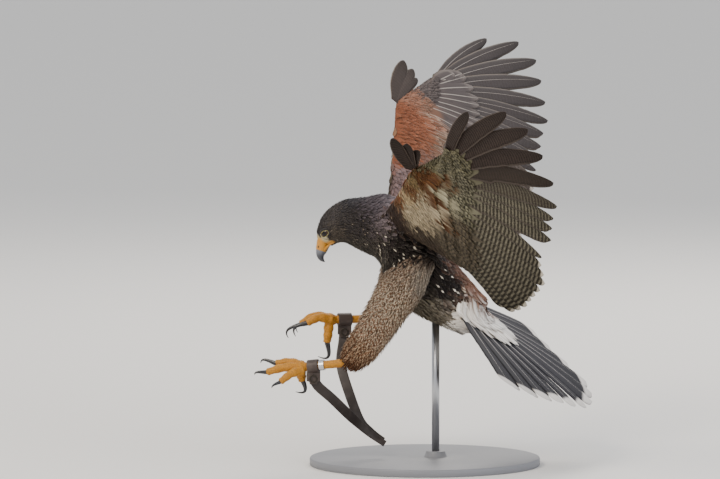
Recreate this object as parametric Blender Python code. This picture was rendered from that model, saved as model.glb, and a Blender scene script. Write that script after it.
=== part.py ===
"""Life-size still model of a young Harris's hawk braking to land, on a plain display stand.

Metres, +Z up. The bird faces -X and the origin is the centre of the stand's underside.
The driving dimensions below are in millimetres, in the same frame.
"""
import math

import bmesh
import bpy
from mathutils import Vector
from mathutils.bvhtree import BVHTree

MM = 0.001

# Clearance between touching solids, and how far a cutter passes its neighbour's skin
GAP = 0.35

# Stand: a flat round base with a low boss, and one rod up to the belly
BASE_RADIUS = 150.0
BASE_HEIGHT = 10.0
BASE_BEVEL = 2.0
BOSS_RADIUS = 15.0
BOSS_HEIGHT = 18.0
BOSS_TAPER = 0.8
BASE_SIDES = 36
ROD_RADIUS = 5.0
ROD_X = 14.0
ROD_SIDES = 16

# Body outline in side view: top (x, z), bottom (x, z), half width, roll in degrees.
# The head hangs down at the front, the back slopes steeply to the tail.
HEAD_STATIONS = (
    ((-140, 294), (-121, 286), 10.0, 0),
    ((-141, 305), (-114, 290), 15.0, 0),
    ((-136, 321), (-106, 291), 19.5, 0),
    ((-128, 332), (-98, 288), 21.5, 0),
    ((-117, 341), (-91, 284), 23.0, 0),
)
NECK_STATIONS = (
    ((-117, 341), (-91, 284), 23.0, 0),
    ((-104, 347), (-84, 280), 25.0, 0),
    ((-88, 349), (-76, 276), 29.0, 0),
    ((-73, 351), (-66, 272), 35.0, 0),
    ((-55, 355), (-58, 264), 43.0, 0),
)
TRUNK_STATIONS = (
    ((-55, 355), (-58, 264), 43.0, 0),
    ((-34, 348), (-54, 249), 49.0, 0),
    ((-12, 328), (-46, 227), 51.0, 0),
    ((10, 301), (-27, 207), 50.0, 0),
    ((32, 274), (-3, 192), 46.0, 2),
    ((53, 248), (21, 182), 40.0, 5),
)
RUMP_STATIONS = (
    ((53, 248), (21, 182), 40.0, 5),
    ((69, 229), (38, 175), 36.0, 8),
    ((82, 212), (54, 172), 33.0, 10),
)
BODY_SIDES = 18

# Bill: points along the middle of each part, with half height and half width
CERE = (
    ((-133.3, 290.4), 7.5, 9.2),
    ((-134.2, 284.3), 7.4, 8.2),
    ((-134.8, 278.9), 7.0, 7.0),
)
CERE_TILT = -68.0
UPPER_BILL = (
    ((-135.0, 278.4), 6.9, 6.8, -68.0),
    ((-135.4, 274.6), 6.3, 5.8, -80.0),
    ((-134.8, 270.8), 5.1, 4.4, -94.0),
    ((-132.9, 267.4), 3.3, 2.8, -112.0),
    ((-130.3, 264.9), 1.2, 1.1, -126.0),
)
LOWER_BILL = (
    ((-123.3, 286.3), 2.3, 7.0, -68.0),
    ((-124.9, 280.4), 2.1, 5.4, -68.0),
    ((-126.0, 276.2), 1.6, 4.0, -66.0),
    ((-126.8, 273.2), 0.9, 2.2, -64.0),
)
BILL_SIDES = 12

# Eyes: a ball set in a socket, showing as a shallow dome
EYE_RADIUS = 8.2
EYE_SEGMENTS = 10
EYE_CENTRE = (-127.6, 9.6, 303.6)

# Tail: twelve feathers from one root, fully fanned and tipped towards the viewer's side
TAIL_ROOT = (36.0, 0.0, 213.0)
TAIL_AXIS = (0.794, -0.009, -0.608)
TAIL_NORMAL = (0.602, -0.128, 0.788)
TAIL_ANGLES = (60, 49, 38, 26, 15, 4, -7, -18, -28, -37, -46, -55)
TAIL_LENGTHS = (232, 222, 213, 208, 214, 222, 229, 236, 241, 226, 214, 214)
TAIL_COVER = 96.0
TAIL_COVER_SIDE = 72.0
TAIL_ARCH = 7.0
TAIL_THICKNESS = 1.8
TAIL_HALF_WIDTH = 15.0
TAIL_NOTCH_ROW = 4
COVERT_RADII = (62.0, 72.0, 84.0, 95.0)
COVERT_THICKNESS = (26.0, 19.0, 11.0, 4.0)

# At this angle from the middle the coverts are this much shorter at their root and thinner
COVERT_ANGLE = 60.0
COVERT_ROUND = 24.0
COVERT_THIN = 0.75
COVERT_CLEARANCE = 0.2

# Wings: the joints of each wing, its flat axes, and the turn of its primaries P10 to P1
WINGS = {
    "left": {
        "shoulder": (-44, -40, 332), "elbow": (18, -109, 307), "wrist": (-11, -180, 390),
        "hand": (19, -263, 413), "span": (0.361, -0.889, 0.282), "chord": (0.633, 0.011, -0.774),
        "primary_angles": (-13.5, -3, 4, 12, 20.5, 28.5, 33.3, 37.2, 42, 53),
        "primary_lengths": (163, 252, 278, 277, 270, 257, 244, 239, 235, 214),
        "secondary_angles": (55.5, 57.5, 59.5, 63.5, 66.5, 69.5, 73.5, 78, 81.5, 83),
        "secondary_lengths": (213, 213, 211, 199, 188, 178, 169, 157, 145, 125),
        "alula_tips": ((58, -60, -16), (68, -43, -11), (66, -28, -5)), "alula_base": (-4, -11),
        "humerus_trail": (48, -88, 265), "back": (22, -34, 284), "inside": (-28, -16, 320),
    },
    "right": {
        "shoulder": (-42, 40, 342), "elbow": (16, 106, 379), "wrist": (-29, 156, 455),
        "hand": (8, 234, 478), "span": (0.419, 0.873, 0.250), "chord": (0.669, -0.111, -0.735),
        "primary_angles": (-0.8, 6, 12.7, 19, 26, 32.3, 37, 42, 47, 51.5),
        "primary_lengths": (195, 263, 280, 270, 260, 254, 241, 234, 230, 226),
        "secondary_angles": (54.5, 57.5, 60.5, 64.5, 68.5, 72.5, 76.5, 80, 83, 84),
        "secondary_lengths": (219, 213, 207, 200, 192, 183, 175, 166, 156, 138),
        "alula_tips": ((80, -45, 4), (85, -29, 2), (78, -17, 1)), "alula_base": (-6, -9),
        "humerus_trail": (45, 81, 338), "back": (22, 34, 284), "inside": (-28, 16, 320),
    },
}
PRIMARY_COVERS = (48, 76, 88, 98, 105, 108, 110, 110, 109, 107)
PRIMARY_HALF_WIDTHS = (10, 12, 13.5, 14, 14, 13, 12, 11, 10.5, 10)
PRIMARY_NOTCH_ROWS = (1, 1, 1, 1, 2, 2, 3, 3, 2)
SECONDARY_COVERS = (106, 104, 102, 100, 98, 96, 93, 89, 82, 70)
SECONDARY_HALF_WIDTH = 12.0
SECONDARY_NOTCH_ROW = 3
WING_ARCH_HAND = 5.0
WING_ARCH_ARM = 4.0
FEATHER_THICKNESS = 1.6
# Shares of a feather's bare length where its solid has points, and how it narrows at the tip
FEATHER_ROWS = (0.0, 0.22, 0.5, 0.8, 0.95, 1.0)
TAPER_START_ROW = 2
TIP_TAPER = (1.0, 0.88, 0.55)

# Share of the way to the next feather that a side takes, in its fan and next to another fan
FREE_SIDE_SHARE = 0.94
FACING_SIDE_SHARE = 0.47

WRIST_LEAD = (-2.0, -13.0)
HAND_LEAD = (101.0, -9.0)
HAND_THICKNESS = (17.0, 8.0)
ARM_THICKNESS = (17.0, 27.0)
TRAILING_THICKNESS = 3.6
ALULA_HALF_WIDTHS = (13.0, 11.0, 8.0)
ALULA_NOTCH_ROW = 2
ALULA_STEP = 5.0
ALULA_ARCH = 2.0
SHOULDER_LEAD = 8.0

# Where the elbow end and the upper arm lie between wrist and shoulder, as shares of that line
FOREARM_SHARE = 0.62
HUMERUS_SHARE = 0.82

# Half thickness of a classic wing section, as (factor, power of the chord fraction)
AEROFOIL = ((1.4845, 0.5), (-0.63, 1), (-1.758, 2), (1.4215, 3), (-0.5075, 4))

# Fractions of a wing section's chord where its skin has points
SECTION_FRACTIONS = (0.04, 0.15, 0.34, 0.62, 1.0)

# Legs: the middle line of each feathered boot with depth and width radii, and the bare leg
LEGS = {
    "left": {
        "boot": (((-4, -26, 274), 27, 22), ((-28, -46, 240), 30, 25), ((-51, -57, 205), 26, 22),
                 ((-67, -60, 179), 23.5, 19), ((-82, -60, 158), 21.5, 15), ((-94, -58, 144), 16.5, 12),
                 ((-101, -56.5, 138), 11, 9)),
        "tarsus": ((-92, -59.5, 140.5), (-154, -43, 132.5)),
        "toes": {
            "inner": (((-160, -38, 133), (-176, -31, 137), (-193, -25, 134.5)), (6.8, 5.6, 4.8)),
            "middle": (((-160, -41, 131), (-183, -41, 131), (-206, -42, 125)), (7.0, 5.6, 4.6)),
            "outer": (((-160, -45, 128), (-174, -53, 124), (-188, -60, 114)), (6.6, 5.2, 4.4)),
            "hallux": (((-162, -39, 128), (-160.5, -34, 120), (-159, -31, 113)), (6.6, 6.0, 5.0)),
        },
        "claws": {
            "inner": ((-204, -22.5, 138.5), (-213.5, -21, 135)),
            "middle": ((-214.5, -42.5, 125.5), (-221, -43, 122)),
            "outer": ((-194, -63.5, 112), (-198.5, -66, 107)),
            "hallux": ((-155.5, -32, 103), (-168, -35, 99)),
        },
    },
    "right": {
        "boot": (((-8, 24, 278), 20, 18), ((-24, 42, 262), 25, 24), ((-35, 52, 242), 24, 21),
                 ((-42, 57, 216), 20, 18), ((-48, 58, 198), 15, 14), ((-52, 57, 186), 9, 9)),
        "tarsus": ((-44, 59.3, 185.6), (-116, 42, 185.6)),
        "toes": {
            "inner": (((-122, 37, 187), (-139, 31, 189), (-154, 27, 182)), (6.6, 5.6, 4.8)),
            "middle": (((-123, 41, 187), (-144, 41, 190), (-162, 40, 179.5)), (6.8, 5.6, 4.6)),
            "outer": (((-122, 45, 186), (-138, 51, 188), (-151, 56, 182)), (6.4, 5.2, 4.4)),
            "hallux": (((-124.5, 40, 184), (-126, 38, 169), (-127.5, 38, 155.5)), (6.6, 6.0, 5.0)),
        },
        "claws": {
            "inner": ((-166, 26, 179), (-168.5, 26, 165)),
            "middle": ((-175, 40, 175), (-178, 40, 161.5)),
            "outer": ((-163, 58, 179), (-166, 59, 167)),
            "hallux": ((-125, 38.5, 141.5), (-139.5, 39, 137.5)),
        },
    },
}
TARSUS_RADIUS = 5.2
PALM_RADIUS = 9.0
PALM_REACH = 6.0
CLAW_RADII = {"inner": 3.6, "middle": 3.1, "outer": 2.8, "hallux": 3.9}
CLAW_TIP_RADIUS = 0.5
CLAW_CLEARANCE = 1.7
TOE_SIDES = 8
BOOT_SIDES = 12
TARSUS_SIDES = 12
CLAW_SPANS = 4

# Leather and metal worn on the legs
CUFF_SIDES = 18
CUFF_INNER = 5.7
CUFF_OUTER = 8.6
CUFF_START = {"left": 0.74, "right": 0.72}
CUFF_END = {"left": 0.965, "right": 0.965}
TAB_SIZE = (18.0, 4.4, 17.0)
TAB_DROP = 6.9
TAB_CORNER = 4.0
EYELET_DROP = 1.0
EYELET_SIDES = 12
EYELET_OUTER = 5.6
EYELET_INNER = 3.2
EYELET_HEIGHT = 1.8
RING_START = 0.62
RING_END = 0.72
RING_INNER = 5.6
RING_OUTER = 7.0
STRAP_WIDTH = 13.0
STRAP_THICKNESS = 2.0
STRAPS = {
    "left": ((-139.5, -46.5, 107), (-121, -41, 91), (-101, -27, 70), (-86, -11, 54.5),
             (-70, -5, 40), (-52, -4, 27.5)),
    "right": ((-111, 34.5, 157), (-111, 21, 128), (-98.5, 9, 92), (-84.5, 2, 58),
              (-70, 1, 43), (-54, 1.5, 31)),
}


def clear_scene():
    for obj in list(bpy.data.objects):
        bpy.data.objects.remove(obj, do_unlink=True)


def material(name, colour, roughness, metallic=0.0):
    """A plain Principled material; colour is linear RGB."""
    mat = bpy.data.materials.get(name)
    if mat:
        return mat
    mat = bpy.data.materials.new(name)
    mat.use_nodes = True
    shader = mat.node_tree.nodes["Principled BSDF"]
    shader.inputs["Base Color"].default_value = (*colour, 1.0)
    shader.inputs["Roughness"].default_value = roughness
    shader.inputs["Metallic"].default_value = metallic
    return mat


def materials():
    return {
        "dark_feather": material("dark_feather", (0.035, 0.027, 0.024), 0.75),
        "rufous_feather": material("rufous_feather", (0.26, 0.10, 0.045), 0.75),
        "pale_feather": material("pale_feather", (0.45, 0.38, 0.28), 0.8),
        "white_feather": material("white_feather", (0.78, 0.75, 0.70), 0.8),
        "flight_feather": material("flight_feather", (0.05, 0.042, 0.038), 0.6),
        "leg_scute": material("leg_scute", (0.72, 0.29, 0.012), 0.5),
        "horn": material("horn", (0.02, 0.02, 0.024), 0.3),
        "cere": material("cere", (0.70, 0.32, 0.035), 0.45),
        "cornea": material("cornea", (0.02, 0.012, 0.008), 0.05),
        "strap_leather": material("strap_leather", (0.05, 0.035, 0.03), 0.65),
        "ring_aluminium": material("ring_aluminium", (0.75, 0.76, 0.78), 0.3, 1.0),
        "painted_steel": material("painted_steel", (0.25, 0.25, 0.26), 0.45),
        "brushed_steel": material("brushed_steel", (0.55, 0.55, 0.56), 0.3, 1.0),
    }


def add_object(name, bm, mat, smooth=True):
    """Turn a bmesh in millimetres into an object in metres."""
    bmesh.ops.scale(bm, vec=(MM, MM, MM), verts=bm.verts)
    bmesh.ops.recalc_face_normals(bm, faces=bm.faces)
    mesh = bpy.data.meshes.new(name)
    bm.to_mesh(mesh)
    bm.free()
    if smooth:
        mesh.shade_smooth()
        mesh.set_sharp_from_angle(angle=math.radians(40))
    mesh.materials.append(mat)
    obj = bpy.data.objects.new(name, mesh)
    bpy.context.scene.collection.objects.link(obj)
    return obj


def make_cutter(obj):
    """A cutter shapes its neighbour and is not a part itself."""
    obj.hide_render = True
    obj.display_type = "WIRE"
    return obj


def boolean(obj, other, operation):
    mod = obj.modifiers.new(operation.lower() + "_" + other.name, "BOOLEAN")
    mod.operation = operation
    mod.object = other
    mod.solver = "EXACT"


def interpolate(values, steps):
    """Catmull-Rom rows of numbers through the given rows, with steps spans between each pair."""
    rows = [[float(x) for x in row] for row in values]
    out = []
    for i in range(len(rows) - 1):
        before = rows[max(i - 1, 0)]
        after = rows[min(i + 2, len(rows) - 1)]
        for k in range(steps):
            t = k / steps
            row = []
            for p0, p1, p2, p3 in zip(before, rows[i], rows[i + 1], after):
                row.append(
                    0.5 * (2 * p1 + (p2 - p0) * t + (2 * p0 - 5 * p1 + 4 * p2 - p3) * t * t
                           + (3 * p1 - p0 - 3 * p2 + p3) * t ** 3)
                )
            out.append(row)
    out.append(rows[-1])
    return out


def loft(bm, rings):
    """Skin a list of rings of equal size and cap both ends."""
    loops = [[bm.verts.new(p) for p in ring] for ring in rings]
    count = len(loops[0])
    for a, b in zip(loops, loops[1:]):
        for k in range(count):
            bm.faces.new((a[k], a[(k + 1) % count], b[(k + 1) % count], b[k]))
    bm.faces.new(loops[0])
    bm.faces.new(list(reversed(loops[-1])))


def ellipse(centre, u, v, ru, rv, sides):
    step = 2 * math.pi / sides
    return [centre + u * (ru * math.cos(k * step)) + v * (rv * math.sin(k * step)) for k in range(sides)]


def tube_rings(points, radii, sides, flat=1.0):
    """Round rings along a path; flat is the share of the radius kept across the path's side."""
    path = [Vector(p) for p in points]
    side = (path[-1] - path[0]).cross(Vector((0, 0, 1)))
    if side.length < 0.3 * (path[-1] - path[0]).length:
        side = Vector((0, 1, 0))
    side.normalize()
    rings = []
    for i, p in enumerate(path):
        along = run_at(path, i)
        up = side.cross(along).normalized()
        across = along.cross(up).normalized()
        rings.append(ellipse(p, up, across, radii[i], radii[i] * flat, sides))
    return rings


def body_rings(stations, per_span, grow=0.0):
    """Rings between the top and bottom outline of the body, rolled about the body's line."""
    rows = [(*top, *bottom, width, roll) for top, bottom, width, roll in stations]
    rings = []
    for tx, tz, bx, bz, width, roll in interpolate(rows, per_span):
        top = Vector((tx, 0, tz))
        bottom = Vector((bx, 0, bz))
        up = (top - bottom).normalized()
        depth = (top - bottom).length / 2
        along = up.cross(Vector((0, 1, 0)))
        angle = math.radians(roll)
        side = Vector((0, 1, 0)) * math.cos(angle) + up * math.sin(angle)
        up = side.cross(along).normalized()
        rings.append(ellipse((top + bottom) / 2, up, side, depth + grow, width + grow, BODY_SIDES))
    return rings


def trim_rings(rings):
    """Pull the first ring inwards to leave the clearance to the part before it."""
    shift = (centre_of(rings[1]) - centre_of(rings[0])).normalized() * GAP
    return [[p + shift for p in rings[0]]] + rings[1:]


def run_at(path, i):
    """The direction of a path at one of its points."""
    return (path[min(i + 1, len(path) - 1)] - path[max(i - 1, 0)]).normalized()


def centre_of(ring):
    return sum(ring, Vector()) / len(ring)


def trunk_cutter():
    """The trunk, a little larger, used to cut what grows out of it."""
    bm = bmesh.new()
    loft(bm, body_rings(NECK_STATIONS[-2:] + TRUNK_STATIONS[1:] + RUMP_STATIONS[1:], 2, GAP))
    return make_cutter(add_object("cutter_trunk", bm, material("dark_feather", (0, 0, 0), 1)))


def build_body(mats):
    bm = bmesh.new()
    loft(bm, trim_rings(body_rings(HEAD_STATIONS, 2)))
    head = add_object("head", bm, mats["dark_feather"])
    bm = bmesh.new()
    loft(bm, trim_rings(body_rings(NECK_STATIONS, 2)))
    add_object("neck", bm, mats["dark_feather"])
    bm = bmesh.new()
    loft(bm, trim_rings(body_rings(TRUNK_STATIONS, 2)))
    trunk = add_object("trunk", bm, mats["dark_feather"])
    bm = bmesh.new()
    loft(bm, trim_rings(body_rings(RUMP_STATIONS, 2)))
    add_object("rump", bm, mats["rufous_feather"])
    return head, trunk


def bill_ring(centre, tilt, half_height, half_width):
    angle = math.radians(tilt)
    along = Vector((-math.cos(angle), 0, math.sin(angle)))
    up = Vector((0, 1, 0)).cross(along)
    middle = Vector((centre[0], 0, centre[1]))
    return ellipse(middle, up, Vector((0, 1, 0)), half_height, half_width, BILL_SIDES)


def build_bill(mats):
    bm = bmesh.new()
    loft(bm, [bill_ring(c, CERE_TILT, h, w) for c, h, w in CERE])
    add_object("cere", bm, mats["cere"])
    bm = bmesh.new()
    loft(bm, [bill_ring(c, tilt, h, w) for c, h, w, tilt in UPPER_BILL])
    add_object("bill_upper", bm, mats["horn"])
    bm = bmesh.new()
    loft(bm, [bill_ring(c, tilt, h, w) for c, h, w, tilt in LOWER_BILL])
    add_object("bill_lower", bm, mats["horn"])


def build_eyes(mats, head):
    x, y, z = EYE_CENTRE
    for name, side in (("left", -1), ("right", 1)):
        for grow, is_cutter in ((0.0, False), (GAP, True)):
            bm = bmesh.new()
            bmesh.ops.create_uvsphere(bm, u_segments=EYE_SEGMENTS, v_segments=EYE_SEGMENTS // 2,
                                      radius=EYE_RADIUS + grow)
            bmesh.ops.translate(bm, vec=(x, side * y, z), verts=bm.verts)
            label = "cutter_eye_" if is_cutter else "eye_"
            ball = add_object(label + name, bm, mats["cornea"])
            if is_cutter:
                boolean(head, make_cutter(ball), "DIFFERENCE")


def feather_line(feather, normal):
    """The middle line of a feather, from the coverts' edge to the tip."""
    start = feather["cover"] + GAP
    points = []
    for t in FEATHER_ROWS:
        reach = start + (feather["length"] - start) * t
        lift = normal * (feather["arch"] * (1 - t * t))
        points.append(feather["base"] + feather["along"] * reach + lift)
    return points


def joined_side(line, other, joined, half_width):
    """The side of a feather towards the next one in its fan, as (joined, point) for each row."""
    out = []
    for r, middle in enumerate(line[:-1]):
        half = (other[r] - middle) * 0.5
        if r <= joined:
            out.append((True, middle + half))
        else:
            width = min(half_width, half.length * FREE_SIDE_SHARE) * tip_taper(r)
            out.append((False, middle + half.normalized() * width))
    return out


def facing_side(line, other, half_width):
    """The outer side of a fan that keeps clear of the next fan's first feather."""
    out = []
    for r, middle in enumerate(line[:-1]):
        across = other[r] - middle
        limit = across.length * FACING_SIDE_SHARE
        width = limit if r < TAPER_START_ROW else min(half_width, limit) * tip_taper(r)
        out.append((False, middle + across.normalized() * width))
    return out


def free_side(line, inner, half_width, side):
    """The outer side of a fan with nothing next to it, away from the inner neighbour."""
    if side.dot(inner[0] - line[0]) > 0:
        side = -side
    return [(False, middle + side * (half_width * tip_taper(r))) for r, middle in enumerate(line[:-1])]


def tip_taper(row):
    return TIP_TAPER[max(0, row - TAPER_START_ROW)]


def feather_fan(name, feathers, normal, thickness, mat, before=None, after=None):
    """One thin solid for a row of overlapping feathers with free tips.

    Each feather is a dict of base, along, length, cover, arch, half_width and notch, the row
    up to which it is joined to the next one. Before and after are the feathers of other fans
    that this fan's first and last side keep clear of.
    """
    lines = [feather_line(f, normal) for f in feathers]
    last = len(feathers) - 1
    sheet = []

    def vert(p):
        sheet.append(p)
        return len(sheet) - 1

    def side_rows(i, step):
        f = feathers[i]
        beyond = before if step < 0 else after
        if 0 <= i + step <= last:
            joined = feathers[min(i, i + step)]["notch"]
            return joined_side(lines[i], lines[i + step], joined, f["half_width"])
        if beyond:
            return facing_side(lines[i], feather_line(beyond, normal), f["half_width"])
        return free_side(lines[i], lines[i - step], f["half_width"], normal.cross(f["along"]))

    faces = []
    shared = None
    for i, line in enumerate(lines):
        middle = [vert(p) for p in line]
        near = [shared[r] if joined else vert(p) for r, (joined, p) in enumerate(side_rows(i, -1))]
        far = [vert(p) for _, p in side_rows(i, 1)]
        shared = far
        tip = len(middle) - 1
        for column, turned in ((near, False), (far, True)):
            strip = [(middle[r], column[r], column[r + 1], middle[r + 1]) for r in range(tip - 1)]
            strip.append((middle[tip - 1], column[tip - 1], middle[tip]))
            faces += [tuple(reversed(face)) if turned else face for face in strip]
    bm = bmesh.new()
    thicken(bm, sheet, faces, normal, thickness)
    return add_object(name, bm, mat, smooth=False)


def thicken(bm, sheet, faces, normal, thickness):
    """Close a sheet of faces into a thin solid of even thickness along one direction."""
    half = normal * (thickness / 2)
    top = [bm.verts.new(p + half) for p in sheet]
    under = [bm.verts.new(p - half) for p in sheet]
    border = {}
    for face in faces:
        bm.faces.new([top[k] for k in face])
        bm.faces.new([under[k] for k in reversed(face)])
        for a, b in zip(face, face[1:] + face[:1]):
            border[(a, b)] = True
    for a, b in border:
        if (b, a) not in border:
            bm.faces.new((top[b], top[a], under[a], under[b]))


def wing_frame(wing):
    span = Vector(wing["span"]).normalized()
    chord = Vector(wing["chord"]).normalized()
    normal = span.cross(chord).normalized()
    if normal.z < 0:
        normal = -normal
    return span, chord, normal


def direction(span, chord, degrees):
    angle = math.radians(degrees)
    return (span * math.cos(angle) + chord * math.sin(angle)).normalized()


def primary_feathers(wing):
    span, chord, _ = wing_frame(wing)
    wrist = Vector(wing["wrist"])
    hand = Vector(wing["hand"])
    lengths = wing["primary_lengths"]
    count = len(lengths)
    out = []
    for i, length in enumerate(lengths):
        out.append({
            "base": wrist.lerp(hand, 1 - 0.95 * i / (count - 1)),
            "along": direction(span, chord, wing["primary_angles"][i]),
            "length": length,
            "cover": PRIMARY_COVERS[i],
            "arch": WING_ARCH_HAND + (WING_ARCH_ARM - WING_ARCH_HAND) * i / count,
            "half_width": PRIMARY_HALF_WIDTHS[i],
            "notch": PRIMARY_NOTCH_ROWS[min(i, count - 2)],
        })
    return out


def secondary_feathers(wing):
    span, chord, _ = wing_frame(wing)
    wrist = Vector(wing["wrist"])
    elbow = Vector(wing["elbow"])
    out = []
    lengths = wing["secondary_lengths"]
    last = len(lengths) - 1
    for i, length in enumerate(lengths):
        out.append({
            "base": wrist.lerp(elbow, 0.05 + 0.93 * i / last),
            "along": direction(span, chord, wing["secondary_angles"][i]),
            "length": length,
            "cover": SECONDARY_COVERS[i],
            "arch": WING_ARCH_ARM,
            "half_width": SECONDARY_HALF_WIDTH,
            "notch": SECONDARY_NOTCH_ROW,
        })
    return out


def wing_section(lead, trail, normal, thickness, arch, grow):
    """A closed wing section: round nose at the lead point, thin edge at the trail point."""
    chord = trail - lead
    lead = lead - chord.normalized() * grow

    def half(f):
        round_part = sum(k * f ** power for k, power in AEROFOIL)
        return thickness * round_part + TRAILING_THICKNESS / 2 * f + grow

    middle = [(f, lead + chord * f + normal * (arch * math.sin(math.pi * f / 2))) for f in SECTION_FRACTIONS]
    top = [p + normal * half(f) for f, p in middle]
    under = [p - normal * half(f) for f, p in middle]
    return [lead] + top + list(reversed(under))


def hand_sections(wing, grow=0.0):
    """The hand with its coverts, from the wrist out."""
    span, chord, normal = wing_frame(wing)
    wrist = Vector(wing["wrist"])
    wrist_lead = wrist + span * WRIST_LEAD[0] + chord * WRIST_LEAD[1]
    hand_lead = wrist + span * HAND_LEAD[0] + chord * HAND_LEAD[1]
    feathers = list(reversed(primary_feathers(wing)))
    sections = []
    for i, f in enumerate(feathers):
        share = i / (len(feathers) - 1)
        trail = f["base"] + f["along"] * f["cover"]
        thickness = HAND_THICKNESS[0] + (HAND_THICKNESS[1] - HAND_THICKNESS[0]) * share
        sections.append(wing_section(wrist_lead.lerp(hand_lead, share), trail, normal, thickness,
                                     f["arch"], grow))
    return sections


def arm_sections(wing, grow=0.0):
    """The forearm and upper arm with the fold of skin in front, from the wrist in to the body."""
    span, chord, normal = wing_frame(wing)
    wrist = Vector(wing["wrist"])
    wrist_lead = wrist + span * WRIST_LEAD[0] + chord * WRIST_LEAD[1]
    shoulder_lead = Vector(wing["shoulder"]) - chord * SHOULDER_LEAD
    first = primary_feathers(wing)[-1]
    feathers = secondary_feathers(wing)
    rows = [(0.0, first["base"] + first["along"] * first["cover"], first["arch"])]
    for i, f in enumerate(feathers):
        rows.append((FOREARM_SHARE * (i + 1) / len(feathers), f["base"] + f["along"] * f["cover"],
                     WING_ARCH_ARM))
    rows.append((HUMERUS_SHARE, Vector(wing["humerus_trail"]), WING_ARCH_ARM / 2))
    sections = []
    for share, trail, arch in rows:
        thickness = ARM_THICKNESS[0] + (ARM_THICKNESS[1] - ARM_THICKNESS[0]) * share
        sections.append(wing_section(wrist_lead.lerp(shoulder_lead, share), trail, normal, thickness,
                                     arch, grow))
    inside = Vector(wing["inside"])
    back = Vector(wing["back"])
    sections.append(wing_section(shoulder_lead, back, normal, ARM_THICKNESS[1], 0, grow))
    sections.append(wing_section(inside, inside.lerp(back, 0.75), normal, ARM_THICKNESS[1] * 0.7, 0, grow))
    return sections


def build_wing(side, wing, mats, cutter):
    normal = wing_frame(wing)[2]
    primaries = primary_feathers(wing)
    secondaries = secondary_feathers(wing)
    bm = bmesh.new()
    loft(bm, trim_rings(hand_sections(wing)))
    add_object("wing_hand_" + side, bm, mats["rufous_feather"])
    bm = bmesh.new()
    loft(bm, arm_sections(wing))
    arm = add_object("wing_arm_" + side, bm, mats["rufous_feather"])
    boolean(arm, cutter, "DIFFERENCE")
    feather_fan("primaries_" + side, primaries, normal, FEATHER_THICKNESS, mats["flight_feather"],
                after=secondaries[0])
    feather_fan("secondaries_" + side, secondaries, normal, FEATHER_THICKNESS, mats["flight_feather"],
                before=primaries[-1])
    alula = build_alula(side, wing, mats)
    for label, sections in (("hand_", hand_sections(wing, GAP)), ("arm_", arm_sections(wing, GAP))):
        bm = bmesh.new()
        loft(bm, sections)
        other = make_cutter(add_object("cutter_" + label + side, bm, mats["rufous_feather"]))
        boolean(alula, other, "DIFFERENCE")


def build_alula(side, wing, mats):
    """Three stiff feathers on the thumb, spread in front of the wrist."""
    span, chord, normal = wing_frame(wing)
    wrist = Vector(wing["wrist"])
    base = wrist + span * wing["alula_base"][0] + chord * wing["alula_base"][1]
    feathers = []
    for i, (s, c, n) in enumerate(wing["alula_tips"]):
        start = base + span * (ALULA_STEP * i)
        tip = wrist + span * s + chord * c + normal * n
        feathers.append({
            "base": start,
            "along": (tip - start).normalized(),
            "length": (tip - start).length,
            "cover": ALULA_STEP,
            "arch": ALULA_ARCH,
            "half_width": ALULA_HALF_WIDTHS[i],
            "notch": ALULA_NOTCH_ROW,
        })
    return feather_fan("alula_" + side, feathers, normal, FEATHER_THICKNESS, mats["flight_feather"])


def build_tail(mats):
    root = Vector(TAIL_ROOT)
    axis = Vector(TAIL_AXIS).normalized()
    normal = Vector(TAIL_NORMAL).normalized()
    side = normal.cross(axis).normalized()
    if side.y > 0:
        side = -side
    feathers = []
    for angle, length in zip(TAIL_ANGLES, TAIL_LENGTHS):
        turn = math.radians(angle)
        spread = abs(angle) / max(TAIL_ANGLES)
        feathers.append({
            "base": root,
            "along": axis * math.cos(turn) + side * math.sin(turn),
            "length": length,
            "cover": TAIL_COVER + (TAIL_COVER_SIDE - TAIL_COVER) * spread ** 2,
            "arch": TAIL_ARCH * (1 - 0.5 * spread),
            "half_width": TAIL_HALF_WIDTH,
            "notch": TAIL_NOTCH_ROW,
        })
    feather_fan("tail", feathers, normal, TAIL_THICKNESS, mats["flight_feather"])

    # Tail coverts above and below: a flattened fan that ends where the tail shows
    rings = []
    span = COVERT_RADII[-1] - COVERT_RADII[0]
    for radius, thickness in zip(COVERT_RADII, COVERT_THICKNESS):
        share = (radius - COVERT_RADII[0]) / span
        top = []
        under = []
        for f, angle in zip(feathers, TAIL_ANGLES):
            outward = (angle / COVERT_ANGLE) ** 2 * (1 - share)
            reach = radius + (f["cover"] - COVERT_CLEARANCE - COVERT_RADII[-1]) * share
            reach -= COVERT_ROUND * outward
            middle = f["base"] + f["along"] * reach + normal * (f["arch"] * share)
            lift = normal * (thickness / 2 * (1.0 - COVERT_THIN * outward))
            top.append(middle + lift)
            under.append(middle - lift)
        rings.append(top + list(reversed(under)))
    bm = bmesh.new()
    loft(bm, rings)
    coverts = add_object("tail_coverts", bm, mats["white_feather"])
    boolean(coverts, rump_cutter(), "DIFFERENCE")


def rump_cutter():
    bm = bmesh.new()
    loft(bm, body_rings(TRUNK_STATIONS[-2:] + RUMP_STATIONS[1:], 2, GAP))
    return make_cutter(add_object("cutter_rump", bm, material("dark_feather", (0, 0, 0), 1)))


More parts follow.
